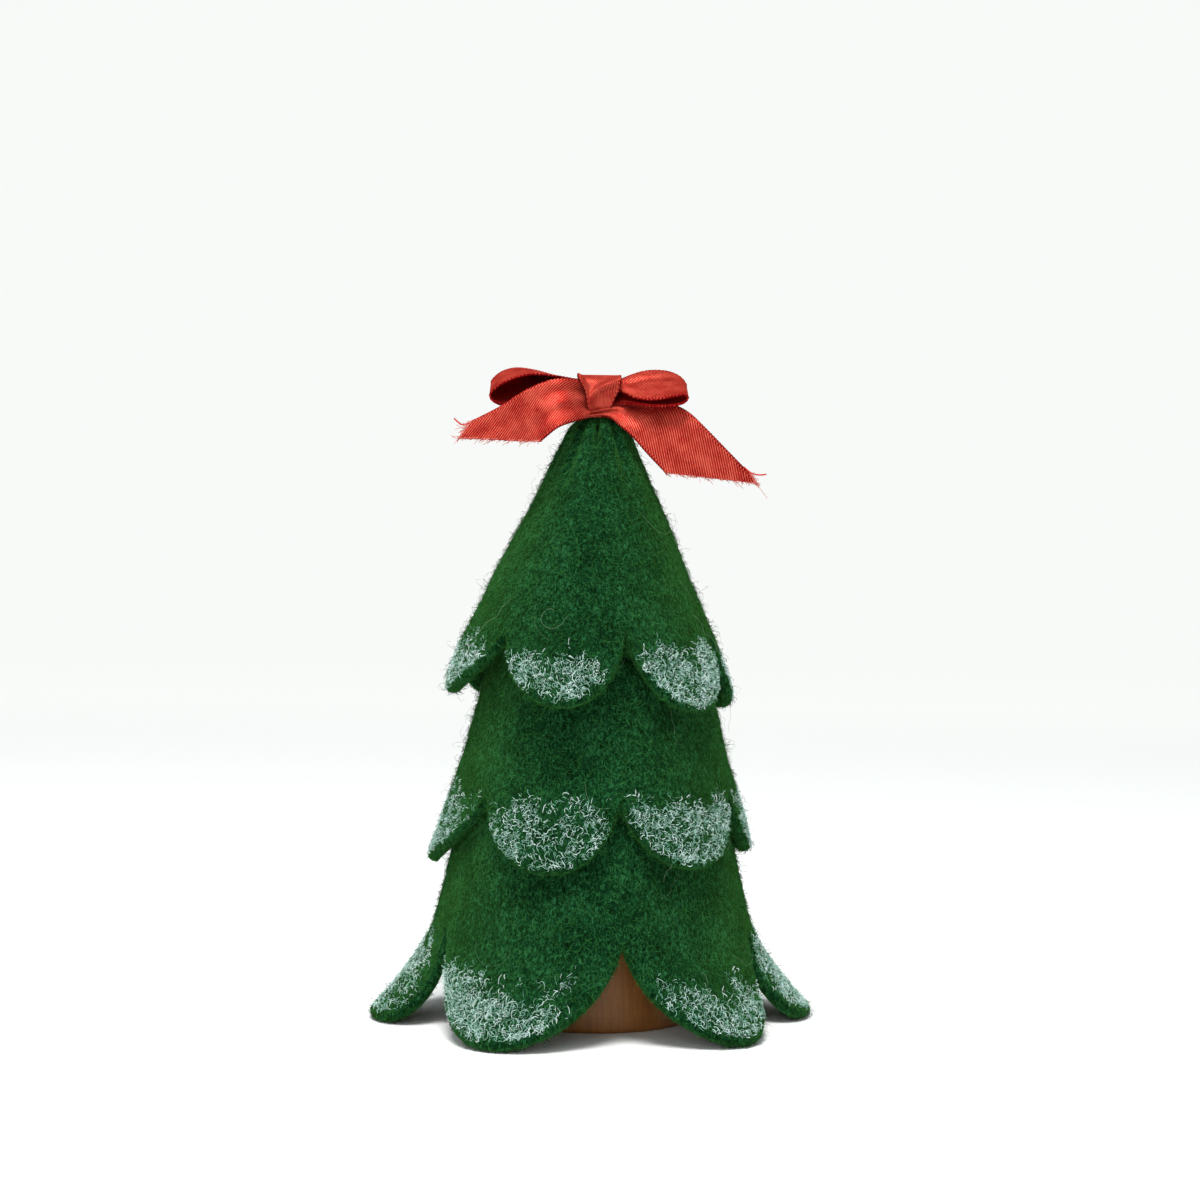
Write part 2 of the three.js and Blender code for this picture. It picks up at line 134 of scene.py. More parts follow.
FIBRE_SIDES = 3
FIBRE_FLOOR = 0.1  # least height over the table
FIBRE_OVERLAP = 1.5  # how far fibres go on above the notches of the next tier
FIBRE_LENGTHS = (0.4, 1.3)  # shortest and longest, as shares of the plain length
FUZZ_COUNT = 7500  # in each piece of fuzz
FUZZ_PIECES = 2  # on each tier
FUZZ_POINTS = 4
FUZZ_LENGTH = 0.85
FUZZ_LENGTHS = (0.5, 1.5)
FUZZ_RADIUS = 0.045
FUZZ_TAPER = 0.5
FUZZ_TURN = 1.1  # spread of the ways round straight down
FUZZ_BEND = 0.7
FUZZ_LIFT = {"shape": 1.6, "scale": 0.16}
FUZZ_ARCH = 2.4  # pi for an arch that comes back down
FUZZ_ROOT = 0.06  # depth of a fibre's start in the felt
FUZZ_WILD = 0.18  # share of the fibres that are longer, thinner and stand up
WILD_LENGTH = 1.6
WILD_LIFT = 2.2
WILD_RADIUS = 0.6
STRAY_COUNT = 14  # long loose hairs on each tier
STRAY_STEPS = 22
STRAY_LENGTH = 10
STRAY_RADIUS = 0.022
STRAY_CURL = 0.12
STRAY_WANDER = 0.55
STRAY_LIFTS = (0.3, 1.1)
STRAY_WAVES = (1, 3)
SNOW_DENSITY = 5.2  # fibres tried on each square millimetre
SNOW_REACH = 0.95  # how far out to the notches
SNOW_RAGGED = 0.25  # share of a lobe where the upper edge is ragged
SNOW_SIDE_RAGGED = 0.2
SNOW_TOP_FADE = 5
SNOW_SIDE_FADE = 6
SNOW_SPOTS = (2.4, 2.8)  # how often they come across and down a lobe
SNOW_SPECKS = (7, 7)
SNOW_SPECK_SHARE = 0.5
SNOW_SEED = 3.7
SNOW_COVER = 0.78  # share of the tries that grow
SNOW_PATCHY = 0.7  # how far that varies from spot to spot
SNOW_LEAST = 0.1
SNOW_LENGTH = 2.2
SNOW_STEPS = 9
SNOW_BEND = 1.2
SNOW_WANDER = 0.5
SNOW_KEEP = 0.8  # share of the wandering kept at each step
SNOW_INWARD = 1.5  # how much fibres near a notch turn to the middle
SNOW_LIFT = 0.26
SNOW_LIFT_MIDDLE = 0.4
SNOW_WAVES = (5, 14)
SNOW_RADIUS = 0.041
SNOW_TAPER = ([0, 0.2, 0.8, 1], [0.5, 1, 1, 0.4])
SNOW_THICKNESS = [0.7, 1, 1.5]  # of thin, plain and bright fibres
SNOW_SHARES = [0.42, 0.36, 0.22]
SNOW_CHANCE_SHADE = 0.45
SNOW_THICK_SHADE = 0.75
SNOW_TURN_BACK = 0.9  # distance from the hem where fibres start to turn back
SNOW_RIM = 0.35  # felt left bare along the hem

# Bow, round the middle of its knot

RIBBON_WIDTH = 10
RIBBON_THICKNESS = 0.36
SEAT_GAP = 0.3
KNOT_HEIGHT = 6.3
KNOT_DEPTH = 7.6
KNOT_FORWARD = 0.6
PICOT_PITCH = 0.58
PICOT_BREADTH = 0.5
PICOT_HEIGHT = 0.08
SELVEDGE_LINE = 0.2  # breadth of the dark line along each edge
TWILL_PITCH = 0.4
TWILL_ANGLE = math.radians(32)  # between the ribs and the ribbon's length
RIBBON_STEP = 0.14
RIBBON_COLUMNS = 31
COLUMN_POWER = 0.8  # crowds the columns towards the edges
EDGE_THINNING = 0.5
PICOT_SPREAD = 0.012  # as a share of half the width
CURVE_STEPS = 60
END_STEPS = 20  # steps back from the end of a tail that give its way
CUT_REACH = 0.02
FRAY_COUNT = 150
FRAY_POINTS = 5
FRAY_RADIUS = 0.05
FRAY_SPREAD = 0.4
FRAY_LENGTH = 0.2
FRAY_LONGER = {"shape": 1.3, "scale": 0.3}
FRAY_ROOT = 0.3

# The wrap of the knot as heights and the places of its left and right edges there
KNOT_HEIGHTS = [-3.1, -1.4, 0.3, 1.9, 3.2]
KNOT_LEFT = [-2.0, -2.3, -2.7, -3.7, -4.1]
KNOT_RIGHT = [0.9, 2.1, 3.2, 3.7, 3.7]
# The two folds that stand out of the knot's front, as points seen from the front
KNOT_FOLDS = [
    [(-4.1, 3.2), (-3.4, 1.7), (-2.6, 0), (-2.1, -1.4), (-1.2, -2.9)],
    [(3.6, 2.1), (0.9, 1.0), (-0.9, -0.1), (-1.8, -1.2)],
]
KNOT_STEPS = 170
KNOT_SQUARE = {"height": 0.85, "depth": 0.7}  # powers that square the wrap's section
KNOT_FRONT = 2  # depth over which the folds fade in
FOLD_WAY = [0, -0.94, 0.34]
FOLD_HEIGHT = 1.3
FOLD_BREADTH = 0.75
FOLD_DIP = 0.5  # how far the knot sinks between its folds
KNOT_SAG = 1.2  # how far the lower front of the knot hangs down
LOOP_PLEAT_WAY = [0, 0.6, -0.8]
LOOP_PLEAT = {"depth": 1.1, "place": -0.45, "breadth": 0.14, "reach": 5}
TAIL_PLEAT = {"depth": 0.7, "place": 0.3, "breadth": 0.08, "reach": 3.2}
TAIL_FANS = {"depth": 0.7, "count": 5, "reach": 6}  # small pleats that fan out of the knot

# Each row of a ribbon gives the two ends of a line across it: the near and the far edge of a loop, or the
# upper and the lower edge of a tail.
LOOPS = {
    "left": [
        ((-3, -1.8, 2), (-3, 1.8, 2.4)),
        ((-7.5, -3.9, 2.7), (-7.4, 3.7, 3.1)),
        ((-11.8, -4.7, 3), (-11.6, 4.6, 4.2)),
        ((-15.2, -4.8, 2.2), (-15, 4.6, 4.6)),
        ((-17.7, -4.8, 0.9), (-17.6, 4.6, 3.9)),
        ((-19.2, -4.8, -0.7), (-19.3, 4.6, 2.4)),
        ((-18.4, -4.8, -2), (-19, 4.4, 1.6)),
        ((-15.8, -4.7, -2.7), (-17, 4.2, 2.2)),
        ((-11.5, -4.3, -2.4), (-12.5, 4.2, 3.6)),
        ((-7, -3.2, -1), (-7.6, 3.4, 2.8)),
        ((-3, -1.6, -0.2), (-3, 1.8, 1.2)),
    ],
    "right": [
        ((2.6, -1.8, 0.9), (2.6, 1.6, 2.2)),
        ((6.3, -5.4, -1), (5.6, 3.4, 3.6)),
        ((9.4, -6.6, -1.3), (8.4, 4, 4.4)),
        ((12.4, -6.8, -0.8), (11.6, 4, 4.4)),
        ((14.6, -6.8, -0.4), (13.9, 4, 3.6)),
        ((15.3, -6.8, -0.9), (15.2, 4, 2.2)),
        ((14.5, -6.8, -1.8), (15, 4, 1.1)),
        ((12.4, -6.8, -2.3), (13.2, 4, 1)),
        ((9.4, -6.6, -2.4), (9.8, 4, 1.4)),
        ((6.2, -5.4, -2), (6.2, 3.4, 1.2)),
        ((3, -2.8, -1.8), (2.9, 2.4, 0.6)),
        ((0.4, -2.2, -2.4), (0.4, 1.6, 0.2)),
    ],
}
TAILS = {
    "left": [
        ((-1.8, -1.6, 2), (-0.4, -1.8, -3.9)),
        ((-4.4, -3.6, 2.3), (-2.4, -4, -4.6)),
        ((-7.4, -5.2, 2.3), (-4.5, -6.2, -5.3)),
        ((-10.6, -5.6, 1.3), (-7.3, -8.2, -6.5)),
        ((-13.9, -5.7, -0.4), (-10.2, -9.2, -8.9)),
        ((-17.3, -5.8, -2.7), (-13.6, -9.5, -11.4)),
        ((-21.4, -6, -4.9), (-18.2, -9.8, -13.6)),
        ((-26.2, -6.2, -7.2), (-23, -10, -15.8)),
    ],
    "right": [
        ((-0.6, -2.6, -2.7), (-2.6, -3.5, -4.4)),
        ((4.4, -1.6, -1.2), (1.3, -3.8, -4.3)),
        ((8.6, -2, -1.2), (3.4, -4.6, -5.7)),
        ((12.2, -2.8, -1.6), (5.7, -5.4, -7.7)),
        ((15.5, -4.2, -3.2), (8.3, -6, -10.6)),
        ((18.3, -5.6, -5.8), (11.2, -6.4, -13.6)),
        ((21.9, -5.8, -9.4), (14.8, -6.6, -17.2)),
        ((25.6, -6, -13.1), (18.4, -6.6, -20.9)),
        ((29.6, -6.2, -17), (22.2, -6.6, -24.8)),
    ],
}
# The slanting cut of each tail and the worn corner at its end, as lines seen from the front
CUTS = {
    "left": [((-24.6, -8.1), (-10.6, -9.4)), ((-23.3, -5.8), (-24.7, -8.2))],
    "right": [((11.4, -14.0), (28.6, -15.7)), ((26.0, -13.3), (27.7, -15.9))],
}
# A thread of the edge that has come loose at that corner
LOOSE_EDGES = {
    "left": [(-22.4, -6.0, -5.5), (-23.7, -6.2, -6.1), (-24.6, -6.4, -5.7), (-25.4, -6.4, -5.0)],
    "right": [(25.2, -6.0, -12.7), (26.6, -6.2, -13.8), (27.9, -6.4, -14.1), (29.2, -6.4, -14.0)],
}
LOOSE_EDGE_RADIUS = 0.14
LOOSE_EDGE_STEPS = 20
LOOSE_EDGE_SIDES = 8

# Tones of the satin

PLAIN_TONE = 0.05
PATCH_TONE = 0.5
TWILL_TONE = 0.46
TWILL_BREAKS = -0.1  # fades the ribs out in places
PICOT_TONE = 0.14
PICOT_LINE = 1.3  # breadth of the dotted edge, as a share of the picots
SELVEDGE_TONE = -0.2
# The inner side of a loop is darker: partly the satin's duller back, partly painted shade of the loop's
# hollow
OUTSIDE_TONE = 0.2  # lightens the outer side of a loop
EDGE_BUMP = 4.0

# Wooden body

FOOT_RADIUS = 19.2
FOOT_ROUND = 0.9
SHOULDER_REACH = 9
WOOD_SIDES = 160
BASE_RINGS = (4, 9, 14)
ROUND_STEPS = 9
OUTLINE_STEPS = 20

# Stage, in metres

FLOOR_HALF = 2.5
FLOOR_FRONT = -2
SWEEP_START = 1.2
SWEEP_RADIUS = 0.8
SWEEP_STEPS = 12
PAPER_TOP = 2.6
GLOW_START = 0.08
GLOW_END = 0.8
PAPER_GLOW = 0.88  # share of plain white in what the camera sees of the paper far behind the tree

# Light, with the place, size and power of each lamp

LAMPS = {"ceiling": ((-0.07, -0.34, 1.05), 0.45, 12.2), "window": ((-0.3, -1.0, 0.4), 0.8, 2.6)}
LAMP_COLOUR = (1, 0.99, 0.97)
LAMP_AIM = (0, 0, 0.05)
SKY_COLOUR = (0.93, 1.0, 0.995, 1)
SKY_STRENGTH = 0.45

# Seam thread

THREAD = 0.5
THREAD_SIDES = 10
THREAD_GAP = 0.3
STITCH_PITCH = 3.2
STITCH_BREADTH = 3
STITCH_STEPS = 10
SEAM_END = 0.8


# Directions


def unit(vectors):
    return vectors / np.maximum(np.linalg.norm(vectors, axis=-1, keepdims=True), LEAST_LENGTH)


def radial(angle, radius, z):
    return np.stack(np.broadcast_arrays(np.sin(angle) * radius, -np.cos(angle) * radius, z), axis=-1)


def srgb(red, green, blue):
    """A display colour from 0 to 255, as the linear colour that a shader takes."""
    values = np.array([red, green, blue]) / 255
    linear = np.where(values <= 0.04045, values / 12.92, ((values + 0.055) / 1.055) ** 2.4)
    return (*linear, 1)


# Meshes


def add_object(name, data):
    piece = bpy.data.objects.new(name, data)
    bpy.context.collection.objects.link(piece)
    return piece


def mesh_object(name, points, faces, material, uv=None, shade=None):
    """A piece that rides on the tree, from points in millimetres and rows of three or four corners."""
    mesh = bpy.data.meshes.new(name)
    points = np.asarray(points, float).reshape(-1, 3) * MM
    counts = np.concatenate([np.full(len(block), block.shape[1]) for block in faces])
    corners = np.concatenate([block.ravel() for block in faces])
    mesh.vertices.add(len(points))
    mesh.vertices.foreach_set("co", points.ravel())
    mesh.loops.add(len(corners))
    mesh.loops.foreach_set("vertex_index", corners.astype(np.int32))
    mesh.polygons.add(len(counts))
    starts = np.concatenate([[0], np.cumsum(counts)[:-1]])
    mesh.polygons.foreach_set("loop_start", starts.astype(np.int32))
    mesh.polygons.foreach_set("use_smooth", np.ones(len(counts), bool))
    if uv is not None:
        layer = mesh.uv_layers.new(name="Strip")
        layer.data.foreach_set("uv", uv[corners].ravel())
    if shade is not None:
        values = mesh.attributes.new("shade", "FLOAT", "POINT")
        values.data.foreach_set("value", np.asarray(shade, np.float32))
    mesh.update(calc_edges=True)
    mesh.validate()
    mesh.materials.append(material)
    piece = add_object(name, mesh)
    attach(piece, "root")
    return piece


def grid_faces(rows, columns, wrap_rows):
    """Four-cornered faces of a grid that closes round its rows, with points numbered row by row."""
    row = np.arange(rows if wrap_rows else rows - 1)[:, None]
    column = np.arange(columns)
    below = (row + 1) % rows
    beside = (column + 1) % columns
    corners = np.broadcast_arrays(
        row * columns + column,
        below * columns + column,
        below * columns + beside,
        row * columns + beside,
    )
    return np.stack(corners, axis=-1).reshape(-1, 4)


def closed_ends(rows, columns):
    """Faces from the first and the last row of a grid to two points that are numbered after it."""
    step = np.arange(columns)
    beside = (step + 1) % columns
    last = (rows - 1) * columns
    point = np.full(columns, rows * columns)
    first_end = np.stack([point, step, beside], axis=-1)
    last_end = np.stack([point + 1, last + beside, last + step], axis=-1)
    return np.concatenate([first_end, last_end])


def tubes(paths, radii, sides=FIBRE_SIDES):
    """Points and faces of thin closed tubes along paths of equal counts of points."""
    count, steps, _ = paths.shape
    radii = np.broadcast_to(radii, (count, steps))
    along = unit(np.gradient(paths, axis=1))
    steep = np.abs(along[:, :1, 2:]) > 0.8
    helper = np.where(steep, [1.0, 0, 0], [0, 0, 1.0])
    first = unit(np.cross(along, np.broadcast_to(helper, along.shape)))
    second = np.cross(along, first)
    turns = np.arange(sides) * 2 * math.pi / sides
    ring = np.cos(turns)[:, None] * first[:, :, None, :] + np.sin(turns)[:, None] * second[:, :, None, :]
    points = paths[:, :, None, :] + ring * radii[..., None, None]
    one = grid_faces(steps, sides, False)
    offsets = (np.arange(count) * steps * sides)[:, None, None]
    walls = (one + offsets).reshape(-1, 4)
    start = np.arange(sides)
    end = start[::-1] + (steps - 1) * sides
    caps = (np.stack([start, end]) + offsets).reshape(-1, sides)
    return points.reshape(-1, 3), [walls[:, ::-1], caps]


def fibre_piece(name, paths, radii, shade, material, lowest=0):
    """A piece of thin tubes, each with its own shade."""
    points, faces = tubes(paths, radii)
    points[:, 2] = np.maximum(points[:, 2], lowest)
    shade = np.repeat(shade, paths.shape[1] * FIBRE_SIDES)
    return mesh_object(name, points, faces, material, shade=shade)


# Felt tiers


class Tier:
    """A felt tier as a function of a lobe, the place across it from -1 to 1, and the height."""

    def __init__(self, name, slope, skew, start_z, start_radius, lobes):
        notches = np.radians(np.array(lobes["notches"], float))
        before = np.roll(notches, 1)
        before[0] -= 2 * math.pi
        self.name = name
        self.slope = slope
        self.skew = skew
        self.start_z = start_z
        self.start_radius = start_radius
        self.notch_z = lobes["notch_z"]
        self.middle = (before + notches) / 2
        self.half = (notches - before) / 2
        self.tips = np.array(lobes["tips"], float)
        self.flares = np.array(lobes["flares"], float)
        self.leans = np.radians(np.array(lobes["leans"], float))
        self.fullness = np.array(lobes["fullness"], float)
        self.snow_tops = lobes["snow_tops"]
        self.snow_amounts = lobes["snow_amounts"]
        self.snow_sides = lobes["snow_sides"]

    def cone_radius(self, z):
        return self.start_radius + self.slope * (self.start_z - z)

    def room(self, z):
        """The least radius inside the felt at a height above the notches."""
        aside = abs(self.skew) * (self.start_z - z)
        return self.cone_radius(z) - FELT * math.hypot(1, self.slope) - aside

    def edge_z(self, lobe, across):
        share = np.maximum(0, 1 - np.abs(across) ** self.fullness[lobe]) ** LOBE_ROUNDNESS
        return self.notch_z - (self.notch_z - self.tips[lobe]) * share

    def outer(self, lobe, across, z):
        drop = np.maximum(0, (self.notch_z - z) / (self.notch_z - self.tips[lobe]))
        aside = self.half[lobe] * across
        lean = self.leans[lobe] * drop**LEAN_POWER
        point = radial(self.middle[lobe] + aside + lean, self.cone_radius(z), z)
        towards = self.middle[lobe] + aside * np.abs(across) + lean
        spread = 1 - np.minimum(1, np.abs(across)) ** FLARE_SPREAD
        point = point + radial(towards, self.flares[lobe] * drop**FLARE_POWER * spread, 0)
        point[..., 0] += self.skew * (self.start_z - z)
        return point

    def normal(self, lobe, across, z):
        step = 1e-3
        round_way = self.outer(lobe, across + step, z) - self.outer(lobe, across - step, z)
        up_way = self.outer(lobe, across, z + step) - self.outer(lobe, across, z - step)
        return unit(np.cross(round_way, up_way))


TIP_ANGLE = math.atan(TOP_SLOPE)
DOME_Z = TREE_HEIGHT - TIP_DOME
TANGENT_Z = DOME_Z + TIP_DOME * math.sin(TIP_ANGLE)
DOME_SPREAD = math.pi / 2 - TIP_ANGLE

top = Tier("top", TOP_SLOPE, TOP_SKEW, TANGENT_Z, TIP_DOME * math.cos(TIP_ANGLE), TOP_LOBES)
middle_start = top.room(MIDDLE_COLLAR_Z) - NEST_GAP
middle = Tier("middle", MIDDLE_SLOPE, 0, MIDDLE_COLLAR_Z, middle_start, MIDDLE_LOBES)
bottom_start = middle.room(BOTTOM_COLLAR_Z) - NEST_GAP
bottom = Tier("bottom", MIDDLE_SLOPE - BOTTOM_STEEPER, 0, BOTTOM_COLLAR_Z, bottom_start, BOTTOM_LOBES)


def uneven(points):
    """How far handmade felt stands out of its plain shape at each point."""
    flat = points.reshape(-1, 3)
    total = np.zeros(len(flat))
    for breadth, height in HAND_WAVES:
        total += height * np.array([noise.noise(Vector(point / breadth)) for point in flat])
    return total.reshape(points.shape[:-1])


def felt_rows(tier):
    """The outer face of a tier as rows of points from its top to its hem, with their normals."""
    lobe = np.repeat(np.arange(LOBE_COUNT), LOBE_COLUMNS)
    across = np.tile(-np.cos(np.pi * np.arange(LOBE_COLUMNS) / LOBE_COLUMNS), LOBE_COUNT)
    root = tier.notch_z + LOBE_ROOT
    cone = np.linspace(tier.start_z, root, CONE_ROWS, endpoint=False)[:, None]
    share = np.linspace(0, 1, LOBE_ROWS)[:, None]
    heights = np.concatenate(
        [np.broadcast_to(cone, (CONE_ROWS, len(lobe))), root + (tier.edge_z(lobe, across) - root) * share]
    )
    points = tier.outer(lobe, across, heights)
    normals = tier.normal(lobe, across, heights)
    if tier is top:
        angle = tier.middle[lobe] + tier.half[lobe] * across
        lean = DOME_SPREAD * np.arange(1, DOME_ROWS)[:, None] / DOME_ROWS
        dome = unit(radial(angle, np.sin(lean), np.cos(lean)))
        points = np.concatenate([dome * TIP_DOME + [0, 0, DOME_Z], points])
        normals = np.concatenate([dome, normals])
    return points, normals


def seam_groove(tier, points):
    """The shallow groove where the ends of a tier meet, above its notch at the back."""
    seam = tier.middle[SEAM_INDEX] + tier.half[SEAM_INDEX]
    along = np.array([math.sin(seam), -math.cos(seam)])
    aside = np.abs(points[..., 0] * along[1] - points[..., 1] * along[0])
    behind = points[..., 0] * along[0] + points[..., 1] * along[1] > 0
    above = np.clip((points[..., 2] - tier.notch_z) / SEAM_GROOVE["fade"], 0, 1)
    return SEAM_GROOVE["depth"] * np.exp(-((aside / SEAM_GROOVE["breadth"]) ** 2)) * behind * above


def tip_gathers(points):
    """The grooves round the tip, deepest under the bow."""
    angle = np.arctan2(points[..., 0], -points[..., 1])
    drift = GATHER_DRIFT["amount"] * np.sin(GATHER_DRIFT["count"] * angle + GATHER_DRIFT["phase"])
    groove = np.maximum(0, np.cos(GATHERS * angle + drift)) ** 2
    near = np.clip((points[..., 2] - GATHER_END) / (GATHER_TOP - GATHER_END), 0, 1)
    return GATHER_DEPTH * groove * near**GATHER_POWER


def felt_tier(tier, material):
    """The closed felt of one tier, with a rounded hem, and its outer face for the fibres."""
    front, normals = felt_rows(tier)
    front = front + normals * (uneven(front) - seam_groove(tier, front))[..., None]
    hem = front[-1]
    out = unit(np.cross(np.roll(hem, -1, axis=0) - np.roll(hem, 1, axis=0), normals[-1]))
    share = np.clip(np.linspace(RIM_START, 1, len(front)), 0, 1)
    front = front - out * (RIM_ROUND * share**2)[:, None, None]
    back = front - normals * FELT
    if tier is top:
        front = front - normals * tip_gathers(front)[..., None]
    turn = np.linspace(0, math.pi, RIM_STEPS + 2)[1:-1, None, None]
    rim = front[-1] + out * RIM_ROUND * np.sin(turn) - normals[-1] * FELT * (1 - np.cos(turn)) / 2
    rows = np.concatenate([front, rim, back[::-1]])
    rows[..., 2] = np.maximum(rows[..., 2], TABLE_GAP)
    count, columns, _ = rows.shape
    points = rows.reshape(-1, 3)
    faces = [grid_faces(count, columns, tier is not top)]
    if tier is top:
        points = np.concatenate([points, [[0, 0, TREE_HEIGHT], [0, 0, TREE_HEIGHT - FELT]]])
        faces.append(closed_ends(count, columns))
    piece = mesh_object(f"felt_{tier.name}", points, faces, material)
    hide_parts(f"felt_tier_{tier.name}")
    return rows[: len(front) + RIM_STEPS]


def sheet_area(piece):
    return sum(face.area for face in piece.data.polygons) / 2


def scatter(face, count, highest, rng):
    """Random places on a face made of rows, evenly by area and below a height, with the ways there."""
    corner = face[:-1]
    down = face[1:] - corner
    beside = np.roll(corner, -1, axis=1) - corner
    area = np.linalg.norm(np.cross(down, beside), axis=-1)
    area[corner[..., 2] > highest] = 0
    chosen = rng.choice(area.size, count, p=(area / area.sum()).ravel())
    down = down.reshape(-1, 3)[chosen]
    beside = beside.reshape(-1, 3)[chosen]
    place = corner.reshape(-1, 3)[chosen] + down * rng.random((count, 1)) + beside * rng.random((count, 1))
    return place, unit(np.cross(down, beside)), unit(beside)


def fuzz(tier, number, face, highest, material, rng):
    """Short matted fibres that lie on a tier and stand a little proud of it."""
    each = (FUZZ_COUNT, 1)
    place, normal, beside = scatter(face, FUZZ_COUNT, highest, rng)
    down = np.cross(beside, normal)
    turn = rng.normal(0, FUZZ_TURN, each)
    way = np.cos(turn) * down + np.sin(turn) * beside
    length = FUZZ_LENGTH * rng.uniform(*FUZZ_LENGTHS, each)
    lift = rng.gamma(**FUZZ_LIFT, size=each)
    wild = rng.random(each) < FUZZ_WILD
    length = length * np.where(wild, WILD_LENGTH, 1)
    lift = lift * np.where(wild, WILD_LIFT, 1)
    bend = rng.normal(0, FUZZ_BEND, each) * np.cross(normal, way)
    share = np.linspace(0, 1, FUZZ_POINTS)
    paths = []
    for t in share:
        rise = lift * math.sin(FUZZ_ARCH * t) - FUZZ_ROOT
        paths.append(place + way * length * t + bend * length * t**2 + normal * rise)
    radii = FUZZ_RADIUS * np.interp(share, [0, 1], [1, FUZZ_TAPER]) * np.where(wild, WILD_RADIUS, 1)
    shade = rng.random(FUZZ_COUNT)
    name = f"felt_fuzz_{tier.name}_{number}"
    fibre_piece(name, np.stack(paths, axis=1), radii, shade, material, FIBRE_FLOOR / 2)


def stray_hairs(tier, face, highest, material, rng):
    """A few long loose hairs that wander over the felt and curl away from it."""
    each = (STRAY_COUNT, 1)
    place, normal, beside = scatter(face, STRAY_COUNT, highest, rng)
    down = np.cross(beside, normal)
    step = STRAY_LENGTH * rng.uniform(*FIBRE_LENGTHS, each) / STRAY_STEPS
    lift = rng.uniform(*STRAY_LIFTS, each)
    bend = rng.normal(0, 1, each)
    wander = np.cumsum(rng.normal(0, STRAY_WANDER, (STRAY_COUNT, STRAY_STEPS)), axis=1)
    heading = (np.cumsum(STRAY_CURL * (bend + wander), axis=1) * step)[..., None]
    moves = (np.cos(heading) * down[:, None] + np.sin(heading) * beside[:, None]) * step[..., None]
    waves = np.linspace(0, 1, STRAY_STEPS) * math.pi * rng.uniform(*STRAY_WAVES, each)
    rise = (lift * np.abs(np.sin(waves)))[..., None]
    paths = place[:, None] + np.cumsum(moves, axis=1) + normal[:, None] * rise
    paths[..., 2] = np.maximum(paths[..., 2], FIBRE_FLOOR)
    shade = rng.random(STRAY_COUNT)
    fibre_piece(f"stray_hairs_{tier.name}", paths, STRAY_RADIUS, shade, material)


def snow_course(tier, lobe, across, z, rng):
    """Paths of curly fibres from some places on a lobe, turning back before its hem."""
    count = len(z)
    breadth = tier.half[lobe] * tier.cone_radius(tier.tips[lobe])
    step = SNOW_LENGTH * rng.uniform(*FIBRE_LENGTHS, count) / SNOW_STEPS
    heading = rng.uniform(0, 2 * math.pi, count)
    bend = rng.normal(0, SNOW_BEND, count)
    wander = np.zeros(count)
    course = []
    for _ in range(SNOW_STEPS):
        wander = SNOW_KEEP * wander + rng.normal(0, SNOW_WANDER, count)
        room = z - tier.edge_z(lobe, np.clip(across, -1, 1)) - SNOW_RIM
        inward = np.arctan2(1, -SNOW_INWARD * across)
        turn_back = np.clip(1 - room / SNOW_TURN_BACK, 0, 1) * np.sin(inward - heading)
        heading = heading + (bend + wander) * step + turn_back
        across = across + np.cos(heading) * step / breadth
        z = z + np.sin(heading) * step
        course.append((across, z))
    across, z = np.moveaxis(np.array(course), 0, -1)
    inside = (z > tier.edge_z(lobe, np.clip(across, -1, 1)) + SNOW_RIM / 2).all(axis=1)
    return across[inside], z[inside]


def lobe_noise(across, drop, seed, often):
    """Smooth noise over a lobe, repeating so often across it and down it."""
    places = zip(across * often[0], drop * often[1])
    return np.array([noise.noise(Vector((u, v, seed))) for u, v in places])


def snow(tier, lobe, material, rng):
    """Curly white fibres needled into the end of one lobe, thin in places and ragged above."""
    breadth = tier.half[lobe] * tier.cone_radius(tier.tips[lobe])
    height = tier.notch_z - tier.tips[lobe]
    highest = tier.snow_tops[lobe]
    left, right = tier.snow_sides[lobe]
    area = 2 * breadth * height * (1 + SNOW_RAGGED - highest)
    tries = int(SNOW_DENSITY * tier.snow_amounts[lobe] * area)
    across = rng.uniform(-SNOW_REACH, SNOW_REACH, tries)
    drop = rng.uniform(highest - SNOW_RAGGED, 1, tries)
    z = tier.notch_z - height * drop
    seed = SNOW_SEED * lobe + tier.notch_z
    specks = lobe_noise(across, drop, seed, SNOW_SPECKS)
    spot = lobe_noise(across, drop, seed, SNOW_SPOTS) + SNOW_SPECK_SHARE * specks
    wanted = np.clip((drop - highest + SNOW_RAGGED * spot) * SNOW_TOP_FADE, 0, 1)
    wanted *= np.clip(SNOW_COVER + SNOW_PATCHY * spot, SNOW_LEAST, 1)
    room = np.minimum(across - left, right - across) + SNOW_SIDE_RAGGED * spot
    wanted *= np.clip(room * SNOW_SIDE_FADE, 0, 1)
    keep = (z > tier.edge_z(lobe, across) + SNOW_RIM) & (rng.random(tries) < wanted)
    across, z = snow_course(tier, lobe, across[keep], z[keep], rng)
    each = (len(z), 1)
    share = np.linspace(0, 1, SNOW_STEPS)
    phase = rng.uniform(0, 2 * math.pi, each)
    wave = np.sin(phase + share * rng.uniform(*SNOW_WAVES, each))
    plain = tier.outer(lobe, across, z)
    lift = SNOW_LIFT * (SNOW_LIFT_MIDDLE + wave) + uneven(plain)
    paths = plain + tier.normal(lobe, across, z) * lift[..., None]
    paths[..., 2] = np.maximum(paths[..., 2], FIBRE_FLOOR)
    thick = rng.choice(SNOW_THICKNESS, each, p=SNOW_SHARES)
    radii = SNOW_RADIUS * np.interp(share, *SNOW_TAPER) * thick
    brighter = SNOW_THICK_SHADE * (thick[:, 0] - SNOW_THICKNESS[0])
    shade = np.clip(SNOW_CHANCE_SHADE * rng.random(len(z)) + brighter, 0, 1)
    name = f"{tier.name}_{lobe + 1}"
    piece = fibre_piece(f"snow_{name}", paths, radii, shade, material)
    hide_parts(f"snow_tuft_{name}")


# Ribbon


